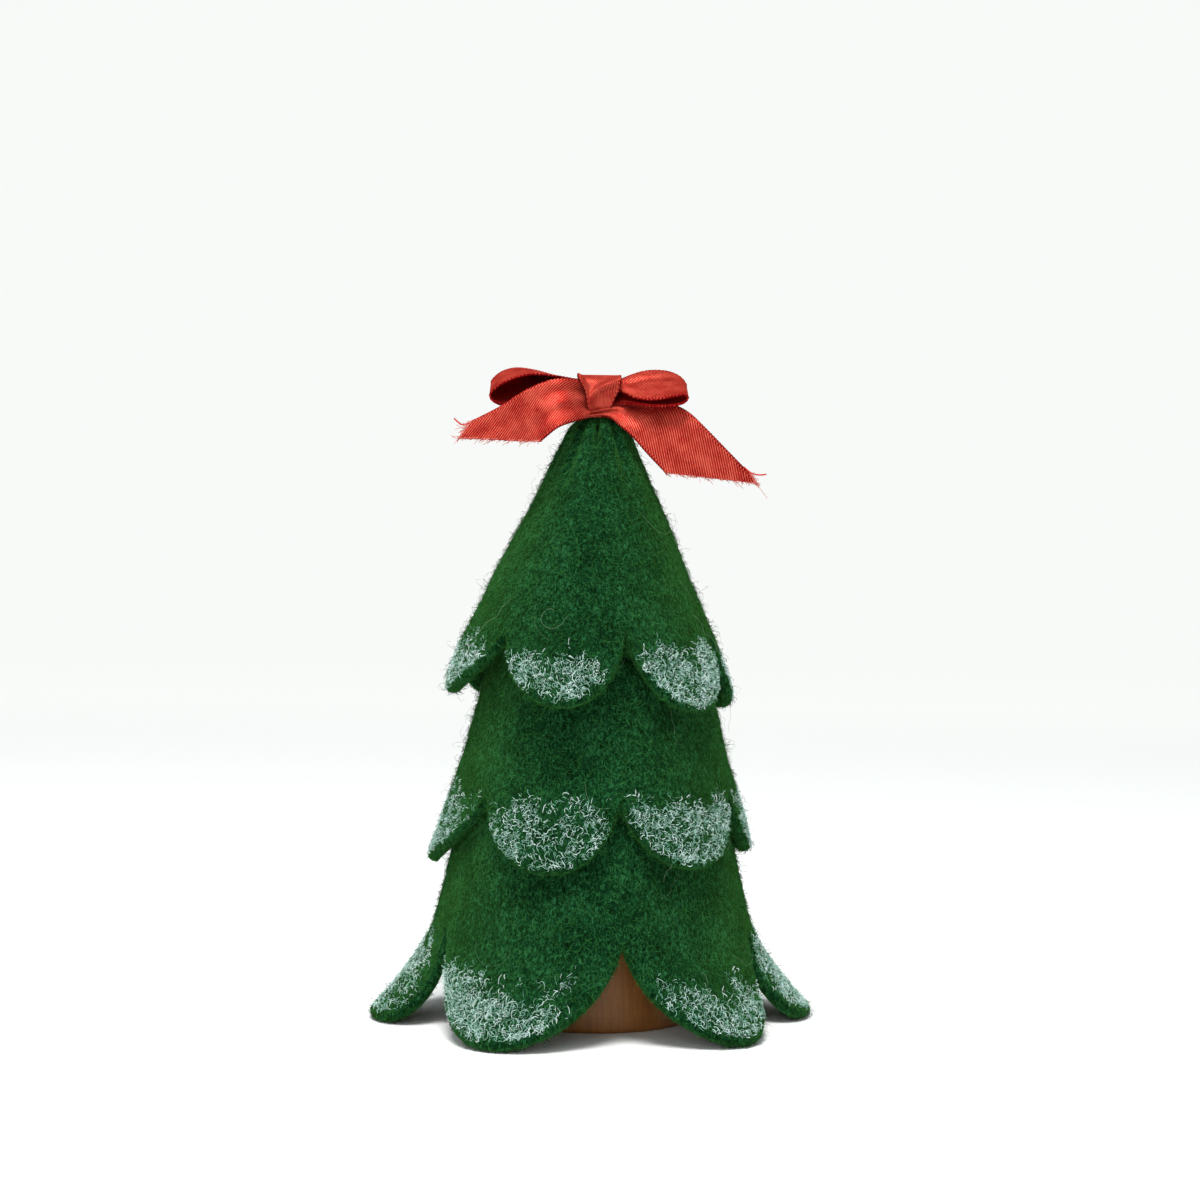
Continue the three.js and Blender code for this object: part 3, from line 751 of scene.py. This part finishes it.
def catmull_rom(points, count=None):
    """Points along a smooth curve through some points, evenly in length, and the length up to each."""
    points = np.asarray(points, float)
    padded = np.concatenate([[2 * points[0] - points[1]], points, [2 * points[-1] - points[-2]]])
    t = np.linspace(0, 1, CURVE_STEPS, endpoint=False)[:, None]
    spans = []
    for p0, p1, p2, p3 in zip(padded, padded[1:], padded[2:], padded[3:]):
        bend = (2 * p0 - 5 * p1 + 4 * p2 - p3) * t**2 + (3 * p1 - p0 - 3 * p2 + p3) * t**3
        spans.append(0.5 * (2 * p1 + (p2 - p0) * t + bend))
    curve = np.concatenate([*spans, points[-1:]])
    length = np.concatenate([[0], np.cumsum(np.linalg.norm(np.diff(curve[:, :3], axis=0), axis=1))])
    wanted = np.linspace(0, length[-1], count or int(length[-1] / RIBBON_STEP))
    return np.stack([np.interp(wanted, length, column) for column in curve.T], axis=-1), wanted


def ribbon_piece(name, line, half, along, material, shape, closed=False, dull_and_shaded_inside=False):
    """A ribbon with picot edges, from its middle line and the half-breadths across it.

    The shape tells how far points move, from their places, the lengths along and the places across.
    """
    lift = unit(np.cross(unit(np.gradient(line, axis=0)), half))
    place = -np.cos(np.linspace(0, math.pi, RIBBON_COLUMNS))
    place = np.sign(place) * np.abs(place) ** COLUMN_POWER
    at_edge = np.abs(place) == 1
    width = np.linalg.norm(half, axis=1)
    from_edge = (1 - np.abs(place)) * width[:, None]
    bead = np.clip(1 - from_edge / PICOT_BREADTH, 0, 1)
    stitch = 0.5 + 0.5 * np.cos(2 * math.pi * along / PICOT_PITCH)[:, None]
    thick = RIBBON_THICKNESS / 2 * np.where(at_edge, EDGE_THINNING, 1)
    thick = thick + PICOT_HEIGHT * np.sin(math.pi * bead) * stitch
    spread = 1 + PICOT_SPREAD * stitch * at_edge
    middle_row = line[:, None] + half[:, None] * (place * spread)[..., None]
    middle_row = middle_row + shape(middle_row, along, place)
    front = middle_row + lift[:, None] * thick[..., None]
    back = middle_row - lift[:, None] * thick[..., None]
    section = np.concatenate([front, back[:, ::-1]], axis=1)
    steps, ring, _ = section.shape
    faces = [grid_faces(steps, ring, closed)]
    if not closed:
        start = np.arange(ring)[None]
        faces += [start, start[:, ::-1] + (steps - 1) * ring]
    across = np.concatenate([place, place[::-1]]) * 0.5 + 0.5
    # The side of a loop that faces its inside gets a darker tone: partly the satin's duller back, partly
    # painted shade of the loop's hollow.
    inward = np.sum(lift * (line.mean(axis=0) - line), axis=1).mean() > 0
    sides = np.repeat([0.0, 1.0] if inward else [1.0, 0.0], len(place))
    shade = np.tile(sides, steps) if dull_and_shaded_inside else np.ones(steps * ring)
    uv = np.stack(np.broadcast_arrays(along[:, None] / RIBBON_WIDTH, across), axis=-1)
    return mesh_object(name, section, faces, material, uv=uv.reshape(-1, 2), shade=shade)


BOW_PLACE = np.array([0, -KNOT_FORWARD, TREE_HEIGHT + SEAT_GAP + KNOT_HEIGHT / 2])


def ribbon_course(rows):
    """The middle line, the half-breadths and the length of a ribbon through lines across it."""
    first, second = np.array(rows, float).swapaxes(0, 1)
    stations = np.concatenate([(first + second) / 2 + BOW_PLACE, (first - second) / 2], axis=1)
    course, along = catmull_rom(stations)
    return course[:, :3], course[:, 3:], along


def declare_ribbon(piece, length):
    """Works out, and does not use, the flat length that a piece's area needs where the ribbon is gathered."""
    area = sheet_area(piece)
    length = max(length * MM, area / (RIBBON_WIDTH * MM))


def bow_loop(name, rows, material):
    line, half, along = ribbon_course(rows)
    # Loops get a darker inner side: partly the satin's duller back, partly painted shade inside the loop.
    piece = ribbon_piece(f"ribbon_loop_{name}", line, half, along, material, loop_pleat, dull_and_shaded_inside=True)
    declare_ribbon(piece, along[-1])
    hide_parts(f"bow_loop_{name}")


def bow_tail(name, rows, material, loose, rng):
    line, half, along = ribbon_course(rows)
    piece = ribbon_piece(f"ribbon_tail_{name}", line, half, along, material, tail_pleat)
    end_way = unit(line[-1] - line[-END_STEPS])
    lift = unit(np.cross(end_way, half[-1]))
    edges = []
    for cut in CUTS[name]:
        start, end = (np.array([x, 0, z]) + BOW_PLACE for x, z in cut)
        slant = unit(np.cross(end - start, lift))
        if np.dot(line[0] - start, slant) > 0:
            slant = -slant
        # The cut passes through the ribbon where its line is seen from the front.
        start[1] = np.interp((start + end)[0] / 2, *zip(*sorted(zip(line[:, 0], line[:, 1]))))
        cut_off(piece, start, slant)
        edges.append((start, slant))
    declare_ribbon(piece, along[-1])
    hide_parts(f"bow_tail_{name}")
    for number, (start, slant) in enumerate(edges, 1):
        fray(f"{name}_{number}", piece, start, slant, end_way, loose, rng)
    course, _ = catmull_rom(np.array(LOOSE_EDGES[name]) + BOW_PLACE, LOOSE_EDGE_STEPS)
    points, faces = tubes(course[None], LOOSE_EDGE_RADIUS, LOOSE_EDGE_SIDES)
    shade = np.zeros(len(points))
    mesh_object(f"ribbon_loose_edge_{name}", points, faces, loose, shade=shade)


def cut_off(piece, place, way):
    """Cuts a piece along a plane, drops what lies beyond it and closes the cut."""
    shape = bmesh.new()
    shape.from_mesh(piece.data)
    geometry = shape.verts[:] + shape.edges[:] + shape.faces[:]
    bmesh.ops.bisect_plane(
        shape, geom=geometry, plane_co=Vector(place) * MM, plane_no=Vector(way), clear_outer=True
    )
    open_edges = [edge for edge in shape.edges if edge.is_boundary]
    bmesh.ops.holes_fill(shape, edges=open_edges, sides=0)
    shape.to_mesh(piece.data)
    shape.free()


def fray(name, piece, place, slant, along, material, rng):
    """Loose threads along the cut end of a tail."""
    points = np.empty(len(piece.data.vertices) * 3)
    piece.data.vertices.foreach_get("co", points)
    points = points.reshape(-1, 3) / MM
    edge = points[np.abs((points - place) @ slant) < CUT_REACH]
    start = edge[rng.integers(0, len(edge), FRAY_COUNT)]
    spread = rng.normal(0, FRAY_SPREAD, (FRAY_COUNT, 3))
    length = FRAY_LENGTH + rng.gamma(**FRAY_LONGER, size=(FRAY_COUNT, 1))
    share = np.linspace(0, 1, FRAY_POINTS)
    paths = np.stack([start + (along + spread * t) * (length * t - FRAY_ROOT) for t in share], axis=1)
    shade = rng.random(FRAY_COUNT)
    fibre_piece(f"ribbon_fray_{name}", paths, FRAY_RADIUS, shade, material)


def knot_folds(points, along, place):
    """How the folds stand out of the knot's front, with dips between them."""
    seen = points[..., [0, 2]] - BOW_PLACE[[0, 2]]
    front = np.clip((BOW_PLACE[1] - points[..., 1]) / KNOT_FRONT, 0, 1)
    height = np.full(front.shape, -FOLD_DIP)
    for fold in KNOT_FOLDS:
        fold = np.array(fold)
        share = np.linspace(0, 1, CURVE_STEPS)
        given = np.linspace(0, 1, len(fold))
        path = np.stack([np.interp(share, given, column) for column in fold.T], axis=-1)
        away = np.linalg.norm(seen[..., None, :] - path, axis=-1).min(axis=-1)
        height = np.maximum(height, FOLD_HEIGHT * np.exp(-((away / FOLD_BREADTH) ** 2)) - FOLD_DIP)
    low = np.clip(-seen[..., 1] / (KNOT_HEIGHT / 2), 0, 1)
    sag = (KNOT_SAG * front * low)[..., None] * [0, 0, -1]
    return (height * front)[..., None] * FOLD_WAY + sag


def loop_pleat(points, along, place):
    """A narrow pleat from the knot into the start of a loop."""
    groove = np.exp(-(((place - LOOP_PLEAT["place"]) / LOOP_PLEAT["breadth"]) ** 2))
    depth = LOOP_PLEAT["depth"] * np.exp(-along / LOOP_PLEAT["reach"])
    return (depth[:, None] * groove)[..., None] * LOOP_PLEAT_WAY


def tail_pleat(points, along, place):
    """A step across the start of a tail, where its lower part is folded over its upper part."""
    step = 1 / (1 + np.exp((place - TAIL_PLEAT["place"]) / TAIL_PLEAT["breadth"]))
    depth = TAIL_PLEAT["depth"] * np.exp(-along / TAIL_PLEAT["reach"])
    waves = np.cos(math.pi * TAIL_FANS["count"] * place / 2)
    fans = TAIL_FANS["depth"] * np.exp(-along / TAIL_FANS["reach"])
    return (depth[:, None] * step + fans[:, None] * waves)[..., None] * [0, -1, 0]


def bow_knot(material):
    """The ribbon wrapped round the middle of the bow, broad above and pinched below."""
    turn = np.linspace(0, 2 * math.pi, KNOT_STEPS, endpoint=False)
    height = np.sign(np.cos(turn)) * np.abs(np.cos(turn)) ** KNOT_SQUARE["height"] * KNOT_HEIGHT / 2
    depth = -np.sign(np.sin(turn)) * np.abs(np.sin(turn)) ** KNOT_SQUARE["depth"] * KNOT_DEPTH / 2
    left = np.interp(height, KNOT_HEIGHTS, KNOT_LEFT)
    right = np.interp(height, KNOT_HEIGHTS, KNOT_RIGHT)
    line = np.stack([(left + right) / 2, depth, height], axis=-1) + BOW_PLACE
    half = np.stack([(left - right) / 2, 0 * turn, 0 * turn], axis=-1)
    along = np.concatenate([[0], np.cumsum(np.linalg.norm(np.diff(line, axis=0), axis=1))])
    piece = ribbon_piece("ribbon_knot", line, half, along, material, knot_folds, closed=True)
    declare_ribbon(piece, along[-1])
    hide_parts("bow_knot")


# Wooden body


def wooden_body(material):
    """The turned body, from the same outline as the CAD model with finer rounds."""
    seats = []
    for tier in (bottom, middle):
        edge = tier.outer(0, 0.0, tier.start_z) - tier.normal(0, 0.0, tier.start_z) * (FELT + GLUE_GAP)
        seats.append(np.array([math.hypot(edge[0], edge[1]), edge[2]]))
    low_seat, high_seat = seats
    dome = TIP_DOME - FELT - GLUE_GAP
    tip_start = np.array([dome * math.cos(TIP_ANGLE), DOME_Z + dome * math.sin(TIP_ANGLE)])
    tip_slope = TOP_SLOPE - abs(TOP_SKEW)
    side_slope = (high_seat[0] - low_seat[0]) / (high_seat[1] - low_seat[1])
    reach = high_seat[0] - tip_start[0] + side_slope * (tip_start[1] - high_seat[1])
    drop = reach / (tip_slope + side_slope)
    corner = tip_start + np.array([tip_slope, -1]) * drop
    shoulder_end = corner + np.array([-tip_slope, 1]) * SHOULDER_REACH
    turn = np.linspace(-math.pi / 2, 0, ROUND_STEPS)[:, None]
    foot = FOOT_ROUND * np.concatenate([np.cos(turn), 1 + np.sin(turn)], axis=1)
    foot[:, 0] += FOOT_RADIUS - FOOT_ROUND
    share = np.linspace(0, 1, OUTLINE_STEPS)[:, None]
    flank = foot[-1] + (low_seat - foot[-1]) * share[1:]
    shoulder = (1 - share) ** 2 * high_seat + 2 * share * (1 - share) * corner + share**2 * shoulder_end
    lean = np.linspace(TIP_ANGLE, math.pi / 2, ROUND_STEPS)[:-1, None]
    tip = dome * np.concatenate([np.cos(lean), np.sin(lean)], axis=1) + [0, DOME_Z]
    disc = np.array([[radius, 0] for radius in BASE_RINGS])
    outline = np.concatenate([disc, foot, flank, shoulder, tip])
    angle = np.arange(WOOD_SIDES) * 2 * math.pi / WOOD_SIDES
    points = radial(angle, outline[:, :1], outline[:, 1:]).reshape(-1, 3)
    points = np.concatenate([points, [[0, 0, 0], [0, 0, DOME_Z + dome]]])
    rows = len(outline)
    faces = [grid_faces(rows, WOOD_SIDES, False), closed_ends(rows, WOOD_SIDES)]
    piece = mesh_object("turned_body", points, [block[:, ::-1] for block in faces], material)
    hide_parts("wooden_body")


# Seam thread


def seam(tier, over, material):
    """The thread that sews a tier up at the back, crossing from side to side."""
    lobe = SEAM_INDEX
    low = tier.notch_z + SEAM_END
    high = tier.start_z - SEAM_END
    if over is not None:
        clear = 1 - STITCH_BREADTH / (over.cone_radius(over.notch_z) * over.half[lobe])
        high = over.edge_z(lobe, clear) - SEAM_END
    stitches = max(2, round(2 * (high - low) / STITCH_PITCH))
    z = np.linspace(low, high, stitches + 1)
    side = np.where(np.arange(stitches + 1) % 2, 0.5, -0.5)
    across = 1 + side * STITCH_BREADTH / (tier.cone_radius(z) * tier.half[lobe])
    places = tier.outer(lobe, across, z) + tier.normal(lobe, across, z) * (THREAD_GAP + THREAD / 2)
    course, _ = catmull_rom(places, stitches * STITCH_STEPS)
    points, faces = tubes(course[None], THREAD / 2, THREAD_SIDES)
    piece = mesh_object(f"stitching_{tier.name}", points, faces, material)
    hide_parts(f"seam_thread_{tier.name}")


# Materials


class Shader:
    """A procedural material, built node by node."""

    def __init__(self, name):
        self.material = bpy.data.materials.new(name)
        self.material.use_nodes = True
        self.tree = self.material.node_tree
        self.surface = self.tree.nodes["Principled BSDF"]

    def add(self, kind, settings=None, **inputs):
        made = self.tree.nodes.new(kind)
        for key, value in (settings or {}).items():
            setattr(made, key, value)
        self.feed_all(made, inputs)
        return made

    def feed_all(self, made, inputs):
        for key, value in inputs.items():
            self.feed(made, key.replace("_", " "), value)

    def feed(self, made, key, value):
        """Sets an input of a node, or links it where the value is another node's output."""
        socket = made.inputs[int(key)] if key.isdigit() else made.inputs[key]
        if isinstance(value, bpy.types.NodeSocket):
            self.tree.links.new(value, socket)
        else:
            socket.default_value = value

    def math(self, operation, first, second=0.0):
        made = self.add("ShaderNodeMath", {"operation": operation})
        self.feed(made, "0", first)
        self.feed(made, "1", second)
        return made.outputs[0]

    def blend(self, *parts):
        """The sum of some values, each times its weight."""
        total = 0.0
        for value, weight in parts:
            total = self.math("ADD", total, self.math("MULTIPLY", value, weight))
        return total

    def ramp(self, value, *stops):
        """A run of colours, from places between 0 and 1 and display colours."""
        made = self.add("ShaderNodeValToRGB", Fac=value)
        ramp = made.color_ramp
        for place, _ in stops[2:]:
            ramp.elements.new(place)
        for element, (place, colour) in zip(ramp.elements, sorted(stops)):
            element.position = place
            element.color = srgb(*colour)
        return made.outputs["Color"]

    def noise(self, vector, scale, detail=2.0, distortion=0.0):
        inputs = {"Vector": vector, "Scale": scale, "Detail": detail, "Distortion": distortion}
        return self.add("ShaderNodeTexNoise", **inputs).outputs["Fac"]

    def place(self, stretch=(1, 1, 1)):
        """The place on the piece in millimetres, stretched along the axes."""
        coordinates = self.add("ShaderNodeTexCoord").outputs["Object"]
        scale = tuple(factor / MM for factor in stretch)
        return self.add("ShaderNodeMapping", Vector=coordinates, Scale=scale).outputs["Vector"]

    def shade(self):
        """The shade that each point of a piece carries."""
        return self.add("ShaderNodeAttribute", {"attribute_name": "shade"}).outputs["Fac"]

    def bump(self, height, distance, strength):
        made = self.add("ShaderNodeBump", Height=height, Distance=distance * MM, Strength=strength)
        self.feed(self.surface, "Normal", made.outputs["Normal"])

    def glow_to_viewer(self, colour):
        """Mixes plain white into what is seen of the paper, more and more from the tree to the back."""
        rays = self.add("ShaderNodeLightPath").outputs
        seen = self.math("MAXIMUM", rays["Is Camera Ray"], rays["Is Glossy Ray"])
        seen = self.math("MAXIMUM", seen, rays["Is Transmission Ray"])
        coordinates = self.add("ShaderNodeTexCoord").outputs["Object"]
        behind = self.add("ShaderNodeSeparateXYZ", Vector=coordinates).outputs["Y"]
        share = self.add("ShaderNodeMapRange", {"interpolation_type": "SMOOTHSTEP"}, Value=behind)
        for key, value in (("From Min", GLOW_START), ("From Max", GLOW_END), ("To Max", PAPER_GLOW)):
            self.feed(share, key, value)
        glow = self.add("ShaderNodeEmission", Color=colour, Strength=1.0)
        mix = self.add("ShaderNodeMixShader", Fac=self.math("MULTIPLY", seen, share.outputs["Result"]))
        self.feed(mix, "1", self.surface.outputs["BSDF"])
        self.feed(mix, "2", glow.outputs["Emission"])
        self.feed(self.tree.nodes["Material Output"], "Surface", mix.outputs["Shader"])

    def finish(self, colour, **constants):
        self.feed(self.surface, "Base Color", colour)
        self.feed_all(self.surface, constants)
        return self.material


def felt_material():
    shader = Shader("green_felt")
    fibre = shader.noise(shader.place((1, 1, 0.55)), scale=2.3, detail=5.0, distortion=1.2)
    patch = shader.noise(shader.place(), scale=0.16)
    colour = shader.ramp(
        shader.blend((fibre, 0.8), (patch, 0.2)),
        (0.36, (2, 19, 9)),
        (0.5, (9, 48, 26)),
        (0.64, (40, 96, 56)),
    )
    shader.bump(fibre, distance=0.5, strength=0.9)
    sheen = {"Sheen_Weight": 0.3, "Sheen_Tint": srgb(108, 180, 66)}
    return shader.finish(colour, Roughness=1.0, Specular_IOR_Level=0.0, **sheen)


def fibre_material(name, dark, light, gloss):
    shader = Shader(name)
    colour = shader.ramp(shader.shade(), (0.0, dark), (1.0, light))
    return shader.finish(colour, Roughness=0.65, Specular_IOR_Level=gloss)


def ribbon_material():
    shader = Shader("red_satin")
    strip = shader.add("ShaderNodeUVMap", {"uv_map": "Strip"}).outputs["UV"]
    ways = shader.add("ShaderNodeSeparateXYZ", Vector=strip).outputs
    along = shader.math("MULTIPLY", ways["X"], RIBBON_WIDTH)
    across = shader.math("MULTIPLY", ways["Y"], RIBBON_WIDTH)
    lengthwise = shader.math("MULTIPLY", along, 2 * math.pi * math.sin(TWILL_ANGLE) / TWILL_PITCH)
    crosswise = shader.math("MULTIPLY", across, 2 * math.pi * math.cos(TWILL_ANGLE) / TWILL_PITCH)
    twill = shader.math("SINE", shader.math("ADD", lengthwise, crosswise))
    from_middle = shader.math("ABSOLUTE", shader.math("SUBTRACT", across, RIBBON_WIDTH / 2))
    patch = shader.noise(shader.place(), scale=0.35, detail=3.0)
    breaks = shader.noise(shader.place(), scale=2.4, detail=1.0)
    weave = shader.math("MULTIPLY", twill, shader.math("ADD", breaks, TWILL_BREAKS))
    dots = shader.math("SINE", shader.math("MULTIPLY", along, 2 * math.pi / PICOT_PITCH))
    dotted = shader.math("GREATER_THAN", from_middle, RIBBON_WIDTH / 2 - PICOT_BREADTH * PICOT_LINE)
    rim = shader.math("GREATER_THAN", from_middle, RIBBON_WIDTH / 2 - SELVEDGE_LINE)
    edge = shader.blend((shader.math("MULTIPLY", dots, dotted), PICOT_TONE), (rim, SELVEDGE_TONE))
    # The shade attribute darkens the inner side of each loop: partly the satin's duller back, partly painted
    # shade.
    parts = [(weave, TWILL_TONE), (edge, 1.0), (patch, PATCH_TONE), (shader.shade(), OUTSIDE_TONE)]
    colour = shader.ramp(
        shader.math("ADD", shader.blend(*parts), PLAIN_TONE),
        (0.25, (108, 10, 14)),
        (0.5, (174, 44, 37)),
        (0.75, (220, 104, 84)),
    )
    shader.bump(shader.blend((twill, 1.0), (edge, EDGE_BUMP)), distance=0.03, strength=0.8)
    gloss = {"Specular_IOR_Level": 0.0, "Specular_Tint": srgb(190, 60, 46)}
    return shader.finish(colour, Roughness=0.38, Metallic=0.5, **gloss)


def wood_material():
    shader = Shader("stained_wood")
    grain = shader.noise(shader.place((1, 1, 0.12)), scale=1.1, detail=5.0, distortion=0.8)
    pores = shader.noise(shader.place((1, 1, 0.3)), scale=5.0)
    turning = shader.noise(shader.place((0.02, 0.02, 1)), scale=1.6)
    colour = shader.ramp(
        shader.blend((grain, 0.6), (pores, 0.25), (turning, 0.15)),
        (0.25, (112, 64, 20)),
        (0.5, (135, 83, 30)),
        (0.75, (153, 100, 42)),
    )
    shader.bump(shader.blend((turning, 1.0), (pores, 0.3)), distance=0.1, strength=0.4)
    return shader.finish(colour, Roughness=0.45, Specular_IOR_Level=0.4)


def thread_material():
    shader = Shader("green_thread")
    ply = shader.noise(shader.place(), scale=3.5)
    colour = shader.ramp(ply, (0.3, (10, 36, 18)), (0.7, (30, 78, 42)))
    shader.bump(ply, distance=0.1, strength=0.6)
    return shader.finish(colour, Roughness=0.75)


# Stage


def make_camera():
    camera = bpy.data.cameras.new("camera")
    camera.sensor_width = SENSOR
    camera.sensor_fit = "HORIZONTAL"
    camera.lens = LENS
    camera.clip_start = 0.01
    piece = add_object("camera", camera)
    tilt = Matrix.Rotation(math.pi / 2 + CAMERA_PITCH, 4, "X") @ Matrix.Rotation(CAMERA_ROLL, 4, "Z")
    piece.matrix_world = Matrix.Translation(Vector(CAMERA_PLACE) * MM) @ tilt
    bpy.context.scene.camera = piece


def area_lamp(name, place, size, power):
    lamp = bpy.data.lights.new(name, "AREA")
    lamp.size = size
    lamp.energy = power
    lamp.color = LAMP_COLOUR
    piece = add_object(name, lamp)
    piece.location = place
    piece.rotation_euler = (Vector(LAMP_AIM) - Vector(place)).to_track_quat("-Z", "Y").to_euler()


def make_stage():
    """A pale paper floor that sweeps up behind the tree."""
    flat = np.linspace(FLOOR_FRONT, SWEEP_START, SWEEP_STEPS)
    turn = np.linspace(0, math.pi / 2, SWEEP_STEPS)[1:]
    wall = SWEEP_START + SWEEP_RADIUS
    depth = np.concatenate([flat, SWEEP_START + SWEEP_RADIUS * np.sin(turn), [wall]])
    rise = np.concatenate([0 * flat, SWEEP_RADIUS - SWEEP_RADIUS * np.cos(turn), [PAPER_TOP]])
    points = [(x, y, z) for y, z in zip(depth, rise) for x in (-FLOOR_HALF, FLOOR_HALF)]
    faces = [(2 * i, 2 * i + 1, 2 * i + 3, 2 * i + 2) for i in range(len(depth) - 1)]
    mesh = bpy.data.meshes.new("paper_floor")
    mesh.from_pydata(points, [], faces)
    mesh.polygons.foreach_set("use_smooth", np.ones(len(faces), bool))
    shader = Shader("white_paper")
    grain = shader.noise(shader.place(), scale=0.9, detail=4.0)
    shader.bump(grain, distance=0.12, strength=0.5)
    shader.finish(srgb(250, 251, 251), Roughness=0.95, Specular_IOR_Level=0.1)
    shader.glow_to_viewer(srgb(253, 255, 253))
    mesh.materials.append(shader.material)
    add_object("paper_floor", mesh)


def make_light():
    world = bpy.data.worlds.new("soft_daylight")
    bpy.context.scene.world = world
    world.use_nodes = True
    sky = world.node_tree.nodes["Background"]
    sky.inputs["Color"].default_value = SKY_COLOUR
    sky.inputs["Strength"].default_value = SKY_STRENGTH
    for name, (place, size, power) in LAMPS.items():
        area_lamp(name, place, size, power)
    bpy.context.scene.view_settings.view_transform = "Standard"


# The tree

make_camera()
make_stage()
make_light()

rng = np.random.default_rng(SEED)
felt = felt_material()
fuzz_green = fibre_material("green_fuzz", (1, 30, 10), (58, 122, 58), 0.0)
stray_pale = fibre_material("loose_hairs", (40, 90, 44), (150, 176, 146), 0.2)
wool = fibre_material("white_wool", (118, 192, 166), (240, 254, 255), 0.5)
satin = ribbon_material()
loose_satin = fibre_material("loose_satin", (196, 62, 52), (232, 150, 138), 0.2)
thread = thread_material()

wooden_body(wood_material())
for tier, over in ((bottom, middle), (middle, top), (top, None)):
    face = felt_tier(tier, felt)
    highest = over.notch_z + FIBRE_OVERLAP if over else TREE_HEIGHT
    for number in range(1, FUZZ_PIECES + 1):
        fuzz(tier, number, face, highest, fuzz_green, rng)
    stray_hairs(tier, face, highest, stray_pale, rng)
    for lobe in range(LOBE_COUNT):
        snow(tier, lobe, wool, rng)
    seam(tier, over, thread)

bow_knot(satin)
for name, loop in LOOPS.items():
    bow_loop(name, loop, satin)
for name, tail in TAILS.items():
    bow_tail(name, tail, satin, loose_satin, rng)
